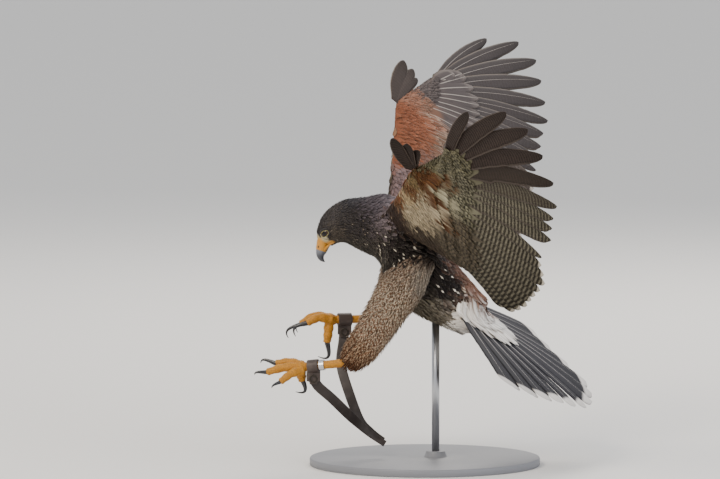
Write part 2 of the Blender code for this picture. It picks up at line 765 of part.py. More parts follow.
def build_leg(side, leg, mats, cutter):
    rows = [(*centre, depth, width) for centre, depth, width in leg["boot"]]
    rows = interpolate(rows, 2)
    path = [Vector(r[:3]) for r in rows]
    rings = []
    for i, row in enumerate(rows):
        along = run_at(path, i)
        across = along.cross(Vector((0, 1, 0))).normalized()
        out = across.cross(along).normalized()
        rings.append(ellipse(path[i], across, out, row[3], row[4], BOOT_SIDES))
    bm = bmesh.new()
    loft(bm, rings)
    boot = add_object("thigh_" + side, bm, mats["rufous_feather"])
    boolean(boot, cutter, "DIFFERENCE")

    start, end = (Vector(p) for p in leg["tarsus"])
    beyond = (end - start).normalized() * GAP
    bm = bmesh.new()
    loft(bm, tube_rings((start - beyond, end), (TARSUS_RADIUS + GAP,) * 2, TARSUS_SIDES))
    socket = make_cutter(add_object("cutter_tarsus_" + side, bm, mats["leg_scute"]))
    boolean(boot, socket, "DIFFERENCE")
    points = [start.lerp(end, t) for t in (0, 0.5, 1)]
    bm = bmesh.new()
    loft(bm, tube_rings(points, (TARSUS_RADIUS,) * 3, TARSUS_SIDES))
    add_object("tarsus_" + side, bm, mats["leg_scute"])
    build_foot(side, leg, mats, start, end)
    build_gear(side, start, end, mats)


def build_foot(side, leg, mats, tarsus_start, tarsus_end):
    towards = (tarsus_end - tarsus_start).normalized()
    points = [tarsus_end + towards * reach for reach in (GAP, PALM_REACH, PALM_REACH + PALM_RADIUS * 0.7)]
    bm = bmesh.new()
    loft(bm, tube_rings(points, (TARSUS_RADIUS + 0.6, PALM_RADIUS, PALM_RADIUS * 0.6),
                        TARSUS_SIDES))
    foot = add_object("foot_" + side, bm, mats["leg_scute"])
    for toe, (points, radii) in leg["toes"].items():
        rows = [(*p, r) for p, r in zip(points, radii)]
        rows = interpolate(rows, 2)
        bm = bmesh.new()
        loft(bm, tube_rings([r[:3] for r in rows], [r[3] for r in rows], TOE_SIDES))
        name = "cutter_toe_" + toe + "_" + side
        boolean(foot, make_cutter(add_object(name, bm, mats["leg_scute"])), "UNION")
    for toe, (bend, tip) in leg["claws"].items():
        bend = Vector(bend)
        tip = Vector(tip)
        toe_path = [Vector(p) for p in leg["toes"][toe][0]]
        toe_run = (toe_path[-1] - toe_path[-2]).normalized()
        start = toe_path[-1] + toe_run * CLAW_CLEARANCE
        near = start + toe_run * ((tip - start).length * 0.25)
        far = (bend * 8 - start - near * 3 - tip) / 3
        path = []
        radii = []
        for k in range(CLAW_SPANS + 1):
            t = k / CLAW_SPANS
            path.append(start * (1 - t) ** 3 + near * (3 * t * (1 - t) ** 2)
                        + far * (3 * t * t * (1 - t)) + tip * t ** 3)
            radii.append(CLAW_RADII[toe] * (1 - t) ** 0.8 + CLAW_TIP_RADIUS * t)
        bm = bmesh.new()
        loft(bm, tube_rings(path, radii, TOE_SIDES, 0.8))
        add_object("claw_" + toe + "_" + side, bm, mats["horn"])


def ring_solid(start, end, inner, outer, sides):
    """A straight tube between two points, open through the middle."""
    along = (end - start).normalized()
    across = along.cross(Vector((0, 0, 1)))
    if across.length < 0.1:
        across = Vector((1, 0, 0))
    across.normalize()
    up = across.cross(along).normalized()
    loops = []
    bm = bmesh.new()
    for centre, radius in ((start, inner), (start, outer), (end, outer), (end, inner)):
        loops.append([bm.verts.new(p) for p in ellipse(centre, up, across, radius, radius, sides)])
    for a, b in zip(loops, loops[1:] + loops[:1]):
        for k in range(sides):
            bm.faces.new((a[k], a[(k + 1) % sides], b[(k + 1) % sides], b[k]))
    return bm


def build_gear(side, start, end, mats):
    """Leather anklet with its eyelet tab, the flat strap from it, and the leg ring."""
    cuff_a = start.lerp(end, CUFF_START[side])
    cuff_b = start.lerp(end, CUFF_END[side])
    cuff = add_object("anklet_" + side, ring_solid(cuff_a, cuff_b, CUFF_INNER, CUFF_OUTER, CUFF_SIDES),
                      mats["strap_leather"])
    middle = (cuff_a + cuff_b) / 2
    length, thick, height = TAB_SIZE
    bm = bmesh.new()
    bmesh.ops.create_cube(bm, size=1.0)
    bmesh.ops.scale(bm, vec=(length, thick, height), verts=bm.verts)
    tab_centre = middle - Vector((0, 0, TAB_DROP + height / 2))
    bmesh.ops.translate(bm, vec=tab_centre, verts=bm.verts)
    uprights = [e for e in bm.edges if abs((e.verts[0].co - e.verts[1].co).y) > thick / 2]
    low = [e for e in uprights if e.verts[0].co.z < tab_centre.z]
    bmesh.ops.bevel(bm, geom=low, offset=TAB_CORNER, segments=3, affect="EDGES")
    tab = make_cutter(add_object("cutter_tab_" + side, bm, mats["strap_leather"]))
    boolean(cuff, tab, "UNION")

    face = tab_centre - Vector((0, thick / 2 + GAP, EYELET_DROP))
    eyelet = ring_solid(face, face + Vector((0, -EYELET_HEIGHT, 0)), EYELET_INNER, EYELET_OUTER, EYELET_SIDES)
    add_object("eyelet_" + side, eyelet, mats["strap_leather"])
    if side == "left":
        ring_a = start.lerp(end, RING_START)
        ring_b = start.lerp(end, RING_END)
        add_object("leg_ring", ring_solid(ring_a, ring_b, RING_INNER, RING_OUTER, CUFF_SIDES),
                   mats["ring_aluminium"])
    build_strap(side, mats)


def build_strap(side, mats):
    rows = interpolate(STRAPS[side], 3)
    path = [Vector(r) for r in rows]
    bm = bmesh.new()
    rings = []
    for i, p in enumerate(path):
        along = run_at(path, i)
        face = Vector((0, -1, 0)) - along * along.dot(Vector((0, -1, 0)))
        face.normalize()
        across = face.cross(along).normalized() * (STRAP_WIDTH / 2)
        thick = face * (STRAP_THICKNESS / 2)
        rings.append([p + across + thick, p - across + thick, p - across - thick, p + across - thick])
    loft(bm, rings)
    add_object("jess_" + side, bm, mats["strap_leather"], smooth=False)


def build_stand(mats, trunk):
    profile = ((0, BASE_RADIUS, 0), (0, BASE_RADIUS, BASE_HEIGHT - BASE_BEVEL),
               (0, BASE_RADIUS - BASE_BEVEL, BASE_HEIGHT), (ROD_X, BOSS_RADIUS, BASE_HEIGHT),
               (ROD_X, BOSS_RADIUS * BOSS_TAPER, BOSS_HEIGHT))
    right = Vector((1, 0, 0))
    ahead = Vector((0, 1, 0))
    bm = bmesh.new()
    loft(bm, [ellipse(Vector((x, 0, z)), right, ahead, radius, radius, BASE_SIDES)
              for x, radius, z in profile])
    add_object("stand_base", bm, mats["painted_steel"])

    # The rod's head follows the belly's underside, a clearance below it
    mesh = trunk.data
    tree = BVHTree.FromPolygons([v.co / MM for v in mesh.vertices], [p.vertices for p in mesh.polygons])
    up = Vector((0, 0, 1))
    foot = ellipse(Vector((ROD_X, 0, BOSS_HEIGHT + GAP)), right, ahead, ROD_RADIUS, ROD_RADIUS, ROD_SIDES)
    head = []
    for p in foot:
        hit = tree.ray_cast(p, up)[0]
        head.append(Vector((p.x, p.y, hit.z - 2 * GAP)))
    bm = bmesh.new()
    lower = [bm.verts.new(p) for p in foot]
    upper = [bm.verts.new(p) for p in head]
    middle = Vector((ROD_X, 0, BOSS_HEIGHT + GAP))
    middle = bm.verts.new((ROD_X, 0, tree.ray_cast(middle, up)[0].z - 2 * GAP))
    for k in range(ROD_SIDES):
        n = (k + 1) % ROD_SIDES
        bm.faces.new((lower[k], lower[n], upper[n], upper[k]))
        bm.faces.new((upper[k], upper[n], middle))
    bm.faces.new(lower)
    add_object("stand_rod", bm, mats["brushed_steel"])


def main():
    clear_scene()
    mats = materials()
    head, trunk = build_body(mats)
    build_bill(mats)
    build_eyes(mats, head)
    cutter = trunk_cutter()
    for side, wing in WINGS.items():
        build_wing(side, wing, mats, cutter)
    build_tail(mats)
    for side, leg in LEGS.items():
        build_leg(side, leg, mats, cutter)
    build_stand(mats, trunk)


main()
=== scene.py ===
"""Looks of a life-size young hawk that brakes to land, on a plain display stand.

Metres, +Z up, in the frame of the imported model. The driving dimensions below are in millimetres.
"""
import math

import bpy
import numpy as np
from bpy.props import FloatProperty, FloatVectorProperty, PointerProperty
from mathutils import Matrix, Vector
from mathutils.bvhtree import BVHTree


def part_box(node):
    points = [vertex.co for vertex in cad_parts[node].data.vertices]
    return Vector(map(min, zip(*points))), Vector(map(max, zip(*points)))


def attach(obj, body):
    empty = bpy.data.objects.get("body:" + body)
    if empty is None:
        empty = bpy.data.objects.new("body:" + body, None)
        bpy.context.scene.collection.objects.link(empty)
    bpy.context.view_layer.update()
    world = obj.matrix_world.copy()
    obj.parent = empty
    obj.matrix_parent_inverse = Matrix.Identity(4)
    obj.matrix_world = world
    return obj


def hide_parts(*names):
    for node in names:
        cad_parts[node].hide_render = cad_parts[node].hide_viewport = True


bl_info = {
    "name": "Landing hawk",
    "version": (1, 0, 0),
    "blender": (4, 5, 0),
    "location": "3D View > Sidebar > Hawk",
    "description": "Feathers, skin, horn and gear of a hawk that brakes to land",
    "category": "Object",
}

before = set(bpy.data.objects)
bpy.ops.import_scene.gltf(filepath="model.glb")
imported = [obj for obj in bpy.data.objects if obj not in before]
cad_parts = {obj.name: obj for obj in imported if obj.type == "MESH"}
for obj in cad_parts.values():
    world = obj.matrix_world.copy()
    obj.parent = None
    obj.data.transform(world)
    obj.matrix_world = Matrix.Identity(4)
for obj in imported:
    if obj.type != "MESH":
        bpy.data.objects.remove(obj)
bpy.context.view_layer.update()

MM = 0.001
SEED = 5720
BODY = "root"

# Camera: the photograph's own view, one pixel of its frame being this many millimetres at the bird
FRAME_WIDTH = 720
PIXEL_MM = 1.3
VIEW_CENTRE = (-84.5, 0.0, 293.15)
VIEW_TILT = 5.0
VIEW_DISTANCE = 10400.0
SENSOR_WIDTH = 36.0

# Flesh nodes that the skin stands for
BODY_NODES = ("head", "neck", "trunk", "rump", "tail_coverts")
SIDES = ("left", "right")

# Each wing: its joints, its flat axes, and the turn and length of its feathers from the outermost in
WINGS = {
    "left": {
        "wrist": (-11, -180, 390), "elbow": (18, -109, 307), "hand": (19, -263, 413),
        "span": (0.361, -0.889, 0.282), "chord": (0.633, 0.011, -0.774),
        "primary_turns": (-13.5, -3, 4, 12, 20.5, 28.5, 33.3, 37.2, 42, 53),
        "primary_lengths": (163, 252, 278, 277, 270, 257, 244, 239, 235, 214),
        "secondary_turns": (55.5, 57.5, 59.5, 63.5, 66.5, 69.5, 73.5, 78, 81.5, 83),
        "secondary_lengths": (213, 213, 211, 199, 188, 178, 169, 157, 145, 125),
        "thumb_base": (-4, -11), "thumb_tips": ((58, -60, -16), (68, -43, -11), (66, -28, -5)),
        "thumb_normal": (0.453, 0.829, 0.328),
    },
    "right": {
        "wrist": (-29, 156, 455), "elbow": (16, 106, 379), "hand": (8, 234, 478),
        "span": (0.419, 0.873, 0.250), "chord": (0.669, -0.111, -0.735),
        "primary_turns": (-0.8, 6, 12.7, 19, 26, 32.3, 37, 42, 47, 51.5),
        "primary_lengths": (195, 263, 280, 270, 260, 254, 241, 234, 230, 226),
        "secondary_turns": (54.5, 57.5, 60.5, 64.5, 68.5, 72.5, 76.5, 80, 83, 84),
        "secondary_lengths": (219, 213, 207, 200, 192, 183, 175, 166, 156, 138),
        "thumb_base": (-6, -9), "thumb_tips": ((80, -45, 4), (85, -29, 2), (78, -17, 1)),
        "thumb_normal": (0.614, -0.475, 0.631),
    },
}
PRIMARY_COVERS = (48, 76, 88, 98, 105, 108, 110, 110, 109, 107)
PRIMARY_HALF_WIDTHS = (9.5, 11.3, 12.6, 13.4, 13.8, 13.8, 13.2, 13, 12.5, 12.5)
FINGER_NOTCHES = (0.10, 0.20, 0.26, 0.32, 0.45, 0.62, 1.0, 1.0, 1.0, 1.0)
SECONDARY_COVERS = (106, 104, 102, 100, 98, 96, 93, 89, 82, 70)
SECONDARY_HALF_WIDTH = 14.0
ARCH_HAND = 5.0
ARCH_ARM = 4.0

# Tail: twelve feathers from one root
TAIL_ROOT = (36.0, 0.0, 213.0)
TAIL_AXIS = (0.794, -0.009, -0.608)
TAIL_NORMAL = (0.602, -0.128, 0.788)
TAIL_TURNS = (60, 49, 38, 26, 15, 4, -7, -18, -28, -37, -46, -55)
TAIL_LENGTHS = (232, 222, 213, 208, 214, 222, 229, 236, 241, 226, 214, 214)
TAIL_COVER = 96.0
TAIL_COVER_SIDE = 72.0
TAIL_HALF_WIDTH = 21.0

# Line of the body from the bill's root to the tail's, which the small feathers lie along
SPINE = ((-140, 286), (-134, 304), (-117, 319), (-100, 322), (-80, 312), (-56, 304),
         (-29, 280), (-8, 254), (14, 233), (37, 213), (68, 190), (100, 168))

# Middle line of each feathered boot
BOOTS = {
    "left": ((-4, -26, 274), (-28, -46, 240), (-51, -57, 205), (-67, -60, 179), (-82, -60, 158),
             (-94, -58, 144), (-106, -56, 133)),
    "right": ((-8, 24, 278), (-24, 42, 262), (-35, 52, 242), (-42, 57, 216), (-48, 58, 198),
              (-53, 57, 182)),
}

# Legs: bare shank, toes as middle line and radii, and claws as bend and tip
LEGS = {
    "left": {
        "shank": ((-82, -62.2, 141.8), (-154, -43, 132.5)),
        "toes": {
            "inner": (((-160, -38, 133), (-176, -31, 137), (-193, -25, 134.5)), (6.8, 5.6, 4.8)),
            "middle": (((-160, -41, 131), (-183, -41, 131), (-206, -42, 125)), (7.0, 5.6, 4.6)),
            "outer": (((-160, -45, 128), (-174, -53, 124), (-188, -60, 114)), (6.6, 5.2, 4.4)),
            "hallux": (((-162, -39, 128), (-160.5, -34, 120), (-159, -31, 113)), (6.6, 6.0, 5.0)),
        },
        "claws": {
            "inner": ((-204, -22.5, 138.5), (-213.5, -21, 135)),
            "middle": ((-214.5, -42.5, 125.5), (-221, -43, 122)),
            "outer": ((-194, -63.5, 112), (-198.5, -66, 107)),
            "hallux": ((-155.5, -32, 103), (-168, -35, 99)),
        },
        "strap": ((-146, -42.5, 121), (-139.5, -44.5, 108), (-121, -41, 91), (-101, -27, 70), (-86, -11, 54.5),
                  (-70, -5, 40), (-52, -4, 27.5)),
    },
    "right": {
        "shank": ((-44, 59.3, 185.6), (-116, 42, 185.6)),
        "toes": {
            "inner": (((-122, 37, 187), (-139, 31, 189), (-154, 27, 182)), (6.6, 5.6, 4.8)),
            "middle": (((-123, 41, 187), (-144, 41, 190), (-162, 40, 179.5)), (6.8, 5.6, 4.6)),
            "outer": (((-122, 45, 186), (-138, 51, 188), (-151, 56, 182)), (6.4, 5.2, 4.4)),
            "hallux": (((-124.5, 40, 184), (-126, 38, 169), (-127.5, 38, 155.5)), (6.6, 6.0, 5.0)),
        },
        "claws": {
            "inner": ((-166, 26, 179), (-168.5, 26, 165)),
            "middle": ((-175, 40, 175), (-178, 40, 161.5)),
            "outer": ((-163, 58, 179), (-166, 59, 167)),
            "hallux": ((-125, 38.5, 141.5), (-139.5, 39, 137.5)),
        },
        "strap": ((-105, 47.0, 168), (-106.5, 42.5, 156), (-109, 24, 128), (-98.5, 9, 92), (-84.5, 2, 58),
                  (-70, 1, 43), (-54, 1.5, 31)),
    },
}
SHANK_RADIUS = 5.2
PALM_REACH = 6.0
PALM_RADIUS = 9.0
CLAW_RADII = {"inner": 3.6, "middle": 3.1, "outer": 2.8, "hallux": 3.9}
CLAW_TIP_RADIUS = 0.35

# Bill: middle line (x, z), half height, half width and turn of each section
CERE = (((-130.6, 298.5), 5.4, 7.6, -68.0), ((-131.9, 295.0), 7.0, 9.2, -68.0),
        ((-133.3, 290.4), 7.6, 9.3, -68.0), ((-134.2, 284.3), 7.5, 8.3, -68.0),
        ((-134.9, 280.4), 7.2, 7.3, -70.0), ((-135.2, 278.4), 5.4, 5.2, -72.0))
UPPER_BILL = (((-134.4, 282.4), 7.5, 8.0, -68.0), ((-135.2, 278.9), 6.9, 6.8, -69.0),
              ((-136.2, 274.6), 5.5, 5.2, -80.0), ((-135.7, 270.8), 4.2, 3.7, -94.0),
              ((-133.6, 267.3), 2.5, 2.1, -114.0), ((-130.2, 265.0), 0.5, 0.5, -132.0))
LOWER_BILL = (((-121.8, 291.6), 3.2, 7.4, -66.0), ((-126.4, 286.3), 3.0, 6.6, -68.0),
              ((-128.8, 280.6), 2.4, 5.0, -68.0), ((-130.4, 276.8), 1.8, 3.6, -66.0),
              ((-131.4, 274.4), 0.9, 1.8, -64.0))
NOSTRIL = (-137.7, 285.4)

# Eyes: ball centre for the left side is at -Y
EYE_CENTRE = (-127.6, 9.6, 303.6)
EYE_RADIUS = 8.2


def linear(text):
    """sRGB hex text to linear RGB."""
    values = [int(text[i:i + 2], 16) / 255 for i in (1, 3, 5)]
    return tuple(v / 12.92 if v <= 0.04045 else ((v + 0.055) / 1.055) ** 2.4 for v in values)


def colour_property(name, description, text):
    return FloatVectorProperty(name=name, description=description, subtype="COLOR", size=3, min=0.0,
                               max=1.0, default=linear(text))


class HawkSizes(bpy.types.PropertyGroup):
    """Sizes of the coat that a user would change."""

    skin_grid: FloatProperty(name="Skin grid", description="Edge length of the skin's mesh",
                             default=2.2 * MM, unit="LENGTH")
    body_feather: FloatProperty(name="Body feather", description="Length of the feathers on the back",
                                default=24 * MM, unit="LENGTH")
    body_spacing: FloatProperty(name="Body spacing", description="Distance between feather roots",
                                default=5.0 * MM, unit="LENGTH")
    coat_depth: FloatProperty(name="Coat depth", description="Depth of the coat over the skin of the trunk",
                              default=4.0 * MM, unit="LENGTH")
    vane_thickness: FloatProperty(name="Vane thickness", description="Thickness of a flight feather's vane",
                                  default=0.6 * MM, unit="LENGTH")
    shaft_radius: FloatProperty(name="Shaft radius", description="Radius of a flight feather's shaft",
                                default=1.1 * MM, unit="LENGTH")
    bar_spacing: FloatProperty(name="Bar spacing", description="Distance between the bars of a secondary",
                               default=6.4 * MM, unit="LENGTH")


class HawkColours(bpy.types.PropertyGroup):
    """Main colours of the plumage and bare parts."""

    finger: colour_property("Finger", "Underside of the outer primaries", "#231c19")
    primary: colour_property("Primary", "Upper side of the primaries", "#4e4847")
    secondary: colour_property("Secondary", "Upper side of the secondaries", "#5c524c")
    bar_dark: colour_property("Dark bar", "Dark bars under the secondaries", "#1d1915")
    bar_pale: colour_property("Pale bar", "Pale ground under the secondaries", "#767060")
    tail: colour_property("Tail", "Upper side of the tail", "#323136")
    tail_tip: colour_property("Tail tip", "White end band of the tail", "#efe9e2")
    foot: colour_property("Foot", "Bare skin of the feet", "#b97a06")
    # The cere's orange is its own, made darker here to stand for the shade over the face, so it is partly painted
    # shade
    cere: colour_property("Cere", "Bare skin at the bill's root", "#b98426")
    horn: colour_property("Horn", "Horn of the bill", "#34363d")
    leather: colour_property("Leather", "Greased leather of the straps", "#3d322d")
    stand: colour_property("Stand", "Powder coat of the base", "#7b7c80")
    floor: colour_property("Floor", "Studio floor", "#e3e1dd")


def sizes():
    return bpy.context.scene.hawk_sizes


def colours():
    return bpy.context.scene.hawk_colours


def unit(v):
    """Rows of vectors scaled to length one."""
    v = np.asarray(v, float)
    length = np.linalg.norm(v, axis=-1, keepdims=True)
    return v / np.maximum(length, 1e-12)


def smooth_step(low, high, x):
    t = np.clip((x - low) / (high - low), 0, 1)
    return t * t * (3 - 2 * t)


def curve_through(rows, spans):
    """Catmull-Rom rows through the given rows, with that many spans between each pair."""
    rows = np.asarray(rows, float)
    padded = np.vstack([rows[:1], rows, rows[-1:]])
    out = []
    for i in range(len(rows) - 1):
        p0, p1, p2, p3 = padded[i:i + 4]
        for t in np.arange(spans) / spans:
            out.append(0.5 * (2 * p1 + (p2 - p0) * t + (2 * p0 - 5 * p1 + 4 * p2 - p3) * t * t
                              + (3 * p1 - p0 - 3 * p2 + p3) * t ** 3))
    out.append(rows[-1])
    return np.array(out)


def runs(path):
    """The direction of a path at each of its points."""
    ahead = np.vstack([path[1:], path[-1:]])
    behind = np.vstack([path[:1], path[:-1]])
    return unit(ahead - behind)


def value_at(t, points):
    """Linear interpolation in a list of (t, value)."""
    return np.interp(t, [p[0] for p in points], [p[1] for p in points])


def make_piece(name, points, faces, mats, smooth=True, corner_uvs=None, attributes=None, slots=None):
    """A mesh object in metres that rides on the body.

    Faces are arrays of equal-sided polygons. Corner UVs are {layer: (corners, 2)} in face order,
    attributes are {name: (points, 1, 3 or 4)}, and slots the material index of each face.
    """
    mesh = bpy.data.meshes.new(name)
    points = np.asarray(points, np.float32)
    faces = [np.asarray(f, np.int32) for f in faces if len(f)]
    totals = np.concatenate([np.full(len(f), f.shape[1], np.int32) for f in faces])
    corners = np.concatenate([f.ravel() for f in faces])
    mesh.vertices.add(len(points))
    mesh.vertices.foreach_set("co", points.ravel())
    mesh.loops.add(len(corners))
    mesh.loops.foreach_set("vertex_index", corners)
    mesh.polygons.add(len(totals))
    mesh.polygons.foreach_set("loop_start", np.concatenate([[0], np.cumsum(totals)[:-1]]).astype(np.int32))
    mesh.polygons.foreach_set("use_smooth", np.full(len(totals), smooth))
    if slots is not None:
        mesh.polygons.foreach_set("material_index", np.asarray(slots, np.int32))
    for layer, uv in (corner_uvs or {}).items():
        made = mesh.uv_layers.new(name=layer)
        made.data.foreach_set("uv", np.asarray(uv, np.float32).ravel())
    for key, values in (attributes or {}).items():
        values = np.asarray(values, np.float32)
        if values.ndim == 1:
            made = mesh.attributes.new(key, "FLOAT", "POINT")
            made.data.foreach_set("value", values)
        else:
            if values.shape[1] == 3:
                values = np.hstack([values, np.ones((len(values), 1), np.float32)])
            made = mesh.attributes.new(key, "FLOAT_COLOR", "POINT")
            made.data.foreach_set("color", values.ravel())
    mesh.update(calc_edges=True)
    for mat in mats:
        mesh.materials.append(mat)
    obj = bpy.data.objects.new(name, mesh)
    bpy.context.scene.collection.objects.link(obj)
    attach(obj, BODY)
    return obj


def loft_faces(rings, sides):
    """Quads of a tube of rings and the triangles that close its ends on two extra points."""
    a = np.arange(rings - 1)[:, None] * sides
    k = np.arange(sides)[None, :]
    n = (k + 1) % sides
    quads = np.stack([a + k, a + n, a + sides + n, a + sides + k], -1).reshape(-1, 4)
    k = np.arange(sides)
    n = (k + 1) % sides
    first = np.full(sides, rings * sides)
    last = first + 1
    base = (rings - 1) * sides
    tris = np.vstack([np.stack([first, n, k], -1), np.stack([last, base + k, base + n], -1)])
    return quads, tris


def loft(rings):
    """Points and faces of a closed tube through rings of points, shaped (rings, sides, 3)."""
    rings = np.asarray(rings, float)
    count, sides = rings.shape[:2]
    points = np.vstack([rings.reshape(-1, 3), rings[0].mean(0), rings[-1].mean(0)])
    quads, tris = loft_faces(count, sides)
    centre = points.mean(0)
    sample = points[quads[:, :3]]
    normals = np.cross(sample[:, 1] - sample[:, 0], sample[:, 2] - sample[:, 0])
    ring_centres = rings.mean(1)[np.minimum(np.arange(len(quads)) // sides, count - 1)]
    if (normals * (sample.mean(1) - ring_centres)).sum() < 0:
        quads = quads[:, ::-1]
        tris = tris[:, ::-1]
    return points, quads, tris


def closed_loft(rings):
    """Points and faces of a ring-shaped solid whose last section joins its first."""
    count, sides = rings.shape[:2]
    r = np.arange(count)[:, None]
    k = np.arange(sides)[None]
    after = (r + 1) % count
    n = (k + 1) % sides
    quads = np.stack([r * sides + k, r * sides + n, after * sides + n, after * sides + k], -1)
    return rings.reshape(-1, 3), quads.reshape(-1, 4), np.empty((0, 3), int)


def tube(path, radii, sides, flat=1.0, up_hint=(0, 0, 1)):
    """Rings of a round tube along a path; flat is the share of the radius kept sideways."""
    path = np.asarray(path, float)
    along = runs(path)
    side = np.cross(along[len(along) // 2], up_hint)
    if np.linalg.norm(side) < 0.3:
        side = np.array((0.0, 1.0, 0.0))
    up = unit(np.cross(side, along))
    across = unit(np.cross(along, up))
    turn = 2 * np.pi * np.arange(sides) / sides
    radii = np.asarray(radii, float)
    if radii.ndim == 1:
        radii = radii[:, None] * np.ones(sides)
    return (path[:, None] + up[:, None] * (radii * np.cos(turn))[..., None]
            + across[:, None] * (radii * flat * np.sin(turn))[..., None])


def joined(parts):
    """Several (points, quads, tris) as one."""
    points = []
    quads = []
    tris = []
    start = 0
    for p, q, t in parts:
        points.append(p)
        quads.append(q + start)
        tris.append(t + start)
        start += len(p)
    return np.vstack(points), np.vstack(quads), np.vstack(tris)


def node_mesh(names):
    """World points, triangles and node number of each triangle of CAD nodes."""
    points = []
    tris = []
    owners = []
    start = 0
    for i, name in enumerate(names):
        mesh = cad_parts[name].data
        mesh.calc_loop_triangles()
        co = np.empty(len(mesh.vertices) * 3, np.float32)
        mesh.vertices.foreach_get("co", co)
        tri = np.empty(len(mesh.loop_triangles) * 3, np.int32)
        mesh.loop_triangles.foreach_get("vertices", tri)
        points.append(co.reshape(-1, 3))
        tris.append(tri.reshape(-1, 3) + start)
        owners.append(np.full(len(tri) // 3, i))
        start += len(mesh.vertices)
    return np.vstack(points).astype(float), np.vstack(tris), np.concatenate(owners)


def bvh_of(points, faces):
    return BVHTree.FromPolygons([Vector(p) for p in points], [tuple(int(i) for i in f) for f in faces])


class WingFrame:
    """A wing's joints and flat axes in metres, with its normal turned upwards."""

    def __init__(self, side):
        wing = WINGS[side]
        self.wrist = np.array(wing["wrist"]) * MM
        self.elbow = np.array(wing["elbow"]) * MM
        self.hand = np.array(wing["hand"]) * MM
        self.span = unit(wing["span"])
        self.chord = unit(wing["chord"])
        normal = unit(np.cross(self.span, self.chord))
        self.normal = normal if normal[2] > 0 else -normal

    def direction(self, degrees):
        turn = math.radians(degrees)
        return unit(self.span * math.cos(turn) + self.chord * math.sin(turn))

    def flat(self, points):
        """Points as millimetres along the span and the chord from the wrist."""
        away = (np.asarray(points) - self.wrist) / MM
        basis = np.stack([self.span, self.chord, self.normal], 1)
        return (away @ np.linalg.inv(basis).T)[..., :2]

    def place(self, span_mm, chord_mm, lift=0.0):
        return self.wrist + (self.span * span_mm + self.chord * chord_mm) * MM + self.normal * lift


def wing_feathers(side):
    """The primaries from the outermost in and then the secondaries, as dicts in metres."""
    wing = WINGS[side]
    axes = WingFrame(side)
    out = []
    for i, length in enumerate(wing["primary_lengths"]):
        share = i / 9
        out.append({
            "base": axes.wrist + (axes.hand - axes.wrist) * (1 - 0.95 * share),
            "along": axes.direction(wing["primary_turns"][i]),
            "length": length * MM, "cover": PRIMARY_COVERS[i] * MM,
            "arch": (ARCH_HAND + (ARCH_ARM - ARCH_HAND) * i / 10) * MM,
            "half_width": PRIMARY_HALF_WIDTHS[i] * MM, "notch": FINGER_NOTCHES[i],
            "kind": "primary", "number": i,
        })
    for i, length in enumerate(wing["secondary_lengths"]):
        out.append({
            "base": axes.wrist + (axes.elbow - axes.wrist) * (0.05 + 0.93 * i / 9),
            "along": axes.direction(wing["secondary_turns"][i]),
            "length": length * MM, "cover": SECONDARY_COVERS[i] * MM,
            "arch": ARCH_ARM * MM, "half_width": SECONDARY_HALF_WIDTH * MM, "notch": 0.84,
            "kind": "secondary", "number": i,
        })
    return out


def tail_feathers():
    axis = unit(TAIL_AXIS)
    normal = unit(TAIL_NORMAL)
    side = unit(np.cross(normal, axis))
    side = -side if side[1] > 0 else side
    out = []
    for i, (turn, length) in enumerate(zip(TAIL_TURNS, TAIL_LENGTHS)):
        spread = abs(turn) / max(TAIL_TURNS)
        turn = math.radians(turn)
        out.append({
            "base": np.array(TAIL_ROOT) * MM,
            "along": axis * math.cos(turn) + side * math.sin(turn),
            "length": length * MM,
            "cover": (TAIL_COVER + (TAIL_COVER_SIDE - TAIL_COVER) * spread ** 2) * MM,
            "arch": 7 * (1 - 0.5 * spread) * MM, "half_width": TAIL_HALF_WIDTH * MM, "notch": 0.9,
            "kind": "tail", "number": i,
        })
    return out, normal


def feather_middle(feather, normal, reach):
    """Points of a feather's middle line at distances from its base."""
    cover = feather["cover"]
    t = np.clip((reach - cover) / (feather["length"] - cover), 0, 1)
    return (feather["base"] + feather["along"] * reach[:, None]
            + normal * (feather["arch"] * (1 - t * t))[:, None])


def mixed(points, anchors, values, power=6, radii=None):
    """Values at points, each mixed from the anchors by how near it is to them."""
    anchors = np.asarray(anchors, float)
    values = np.asarray(values, float)
    radii = np.ones(len(anchors)) if radii is None else np.asarray(radii, float)
    out = np.empty((len(points), values.shape[1]))
    for start in range(0, len(points), 20000):
        part = np.asarray(points[start:start + 20000], float)
        distance = np.sqrt(((part[:, None] - anchors[None]) ** 2).sum(-1)) / radii
        weight = 1 / (0.001 + distance ** power)
        out[start:start + 20000] = (weight @ values) / weight.sum(1, keepdims=True)
    return out


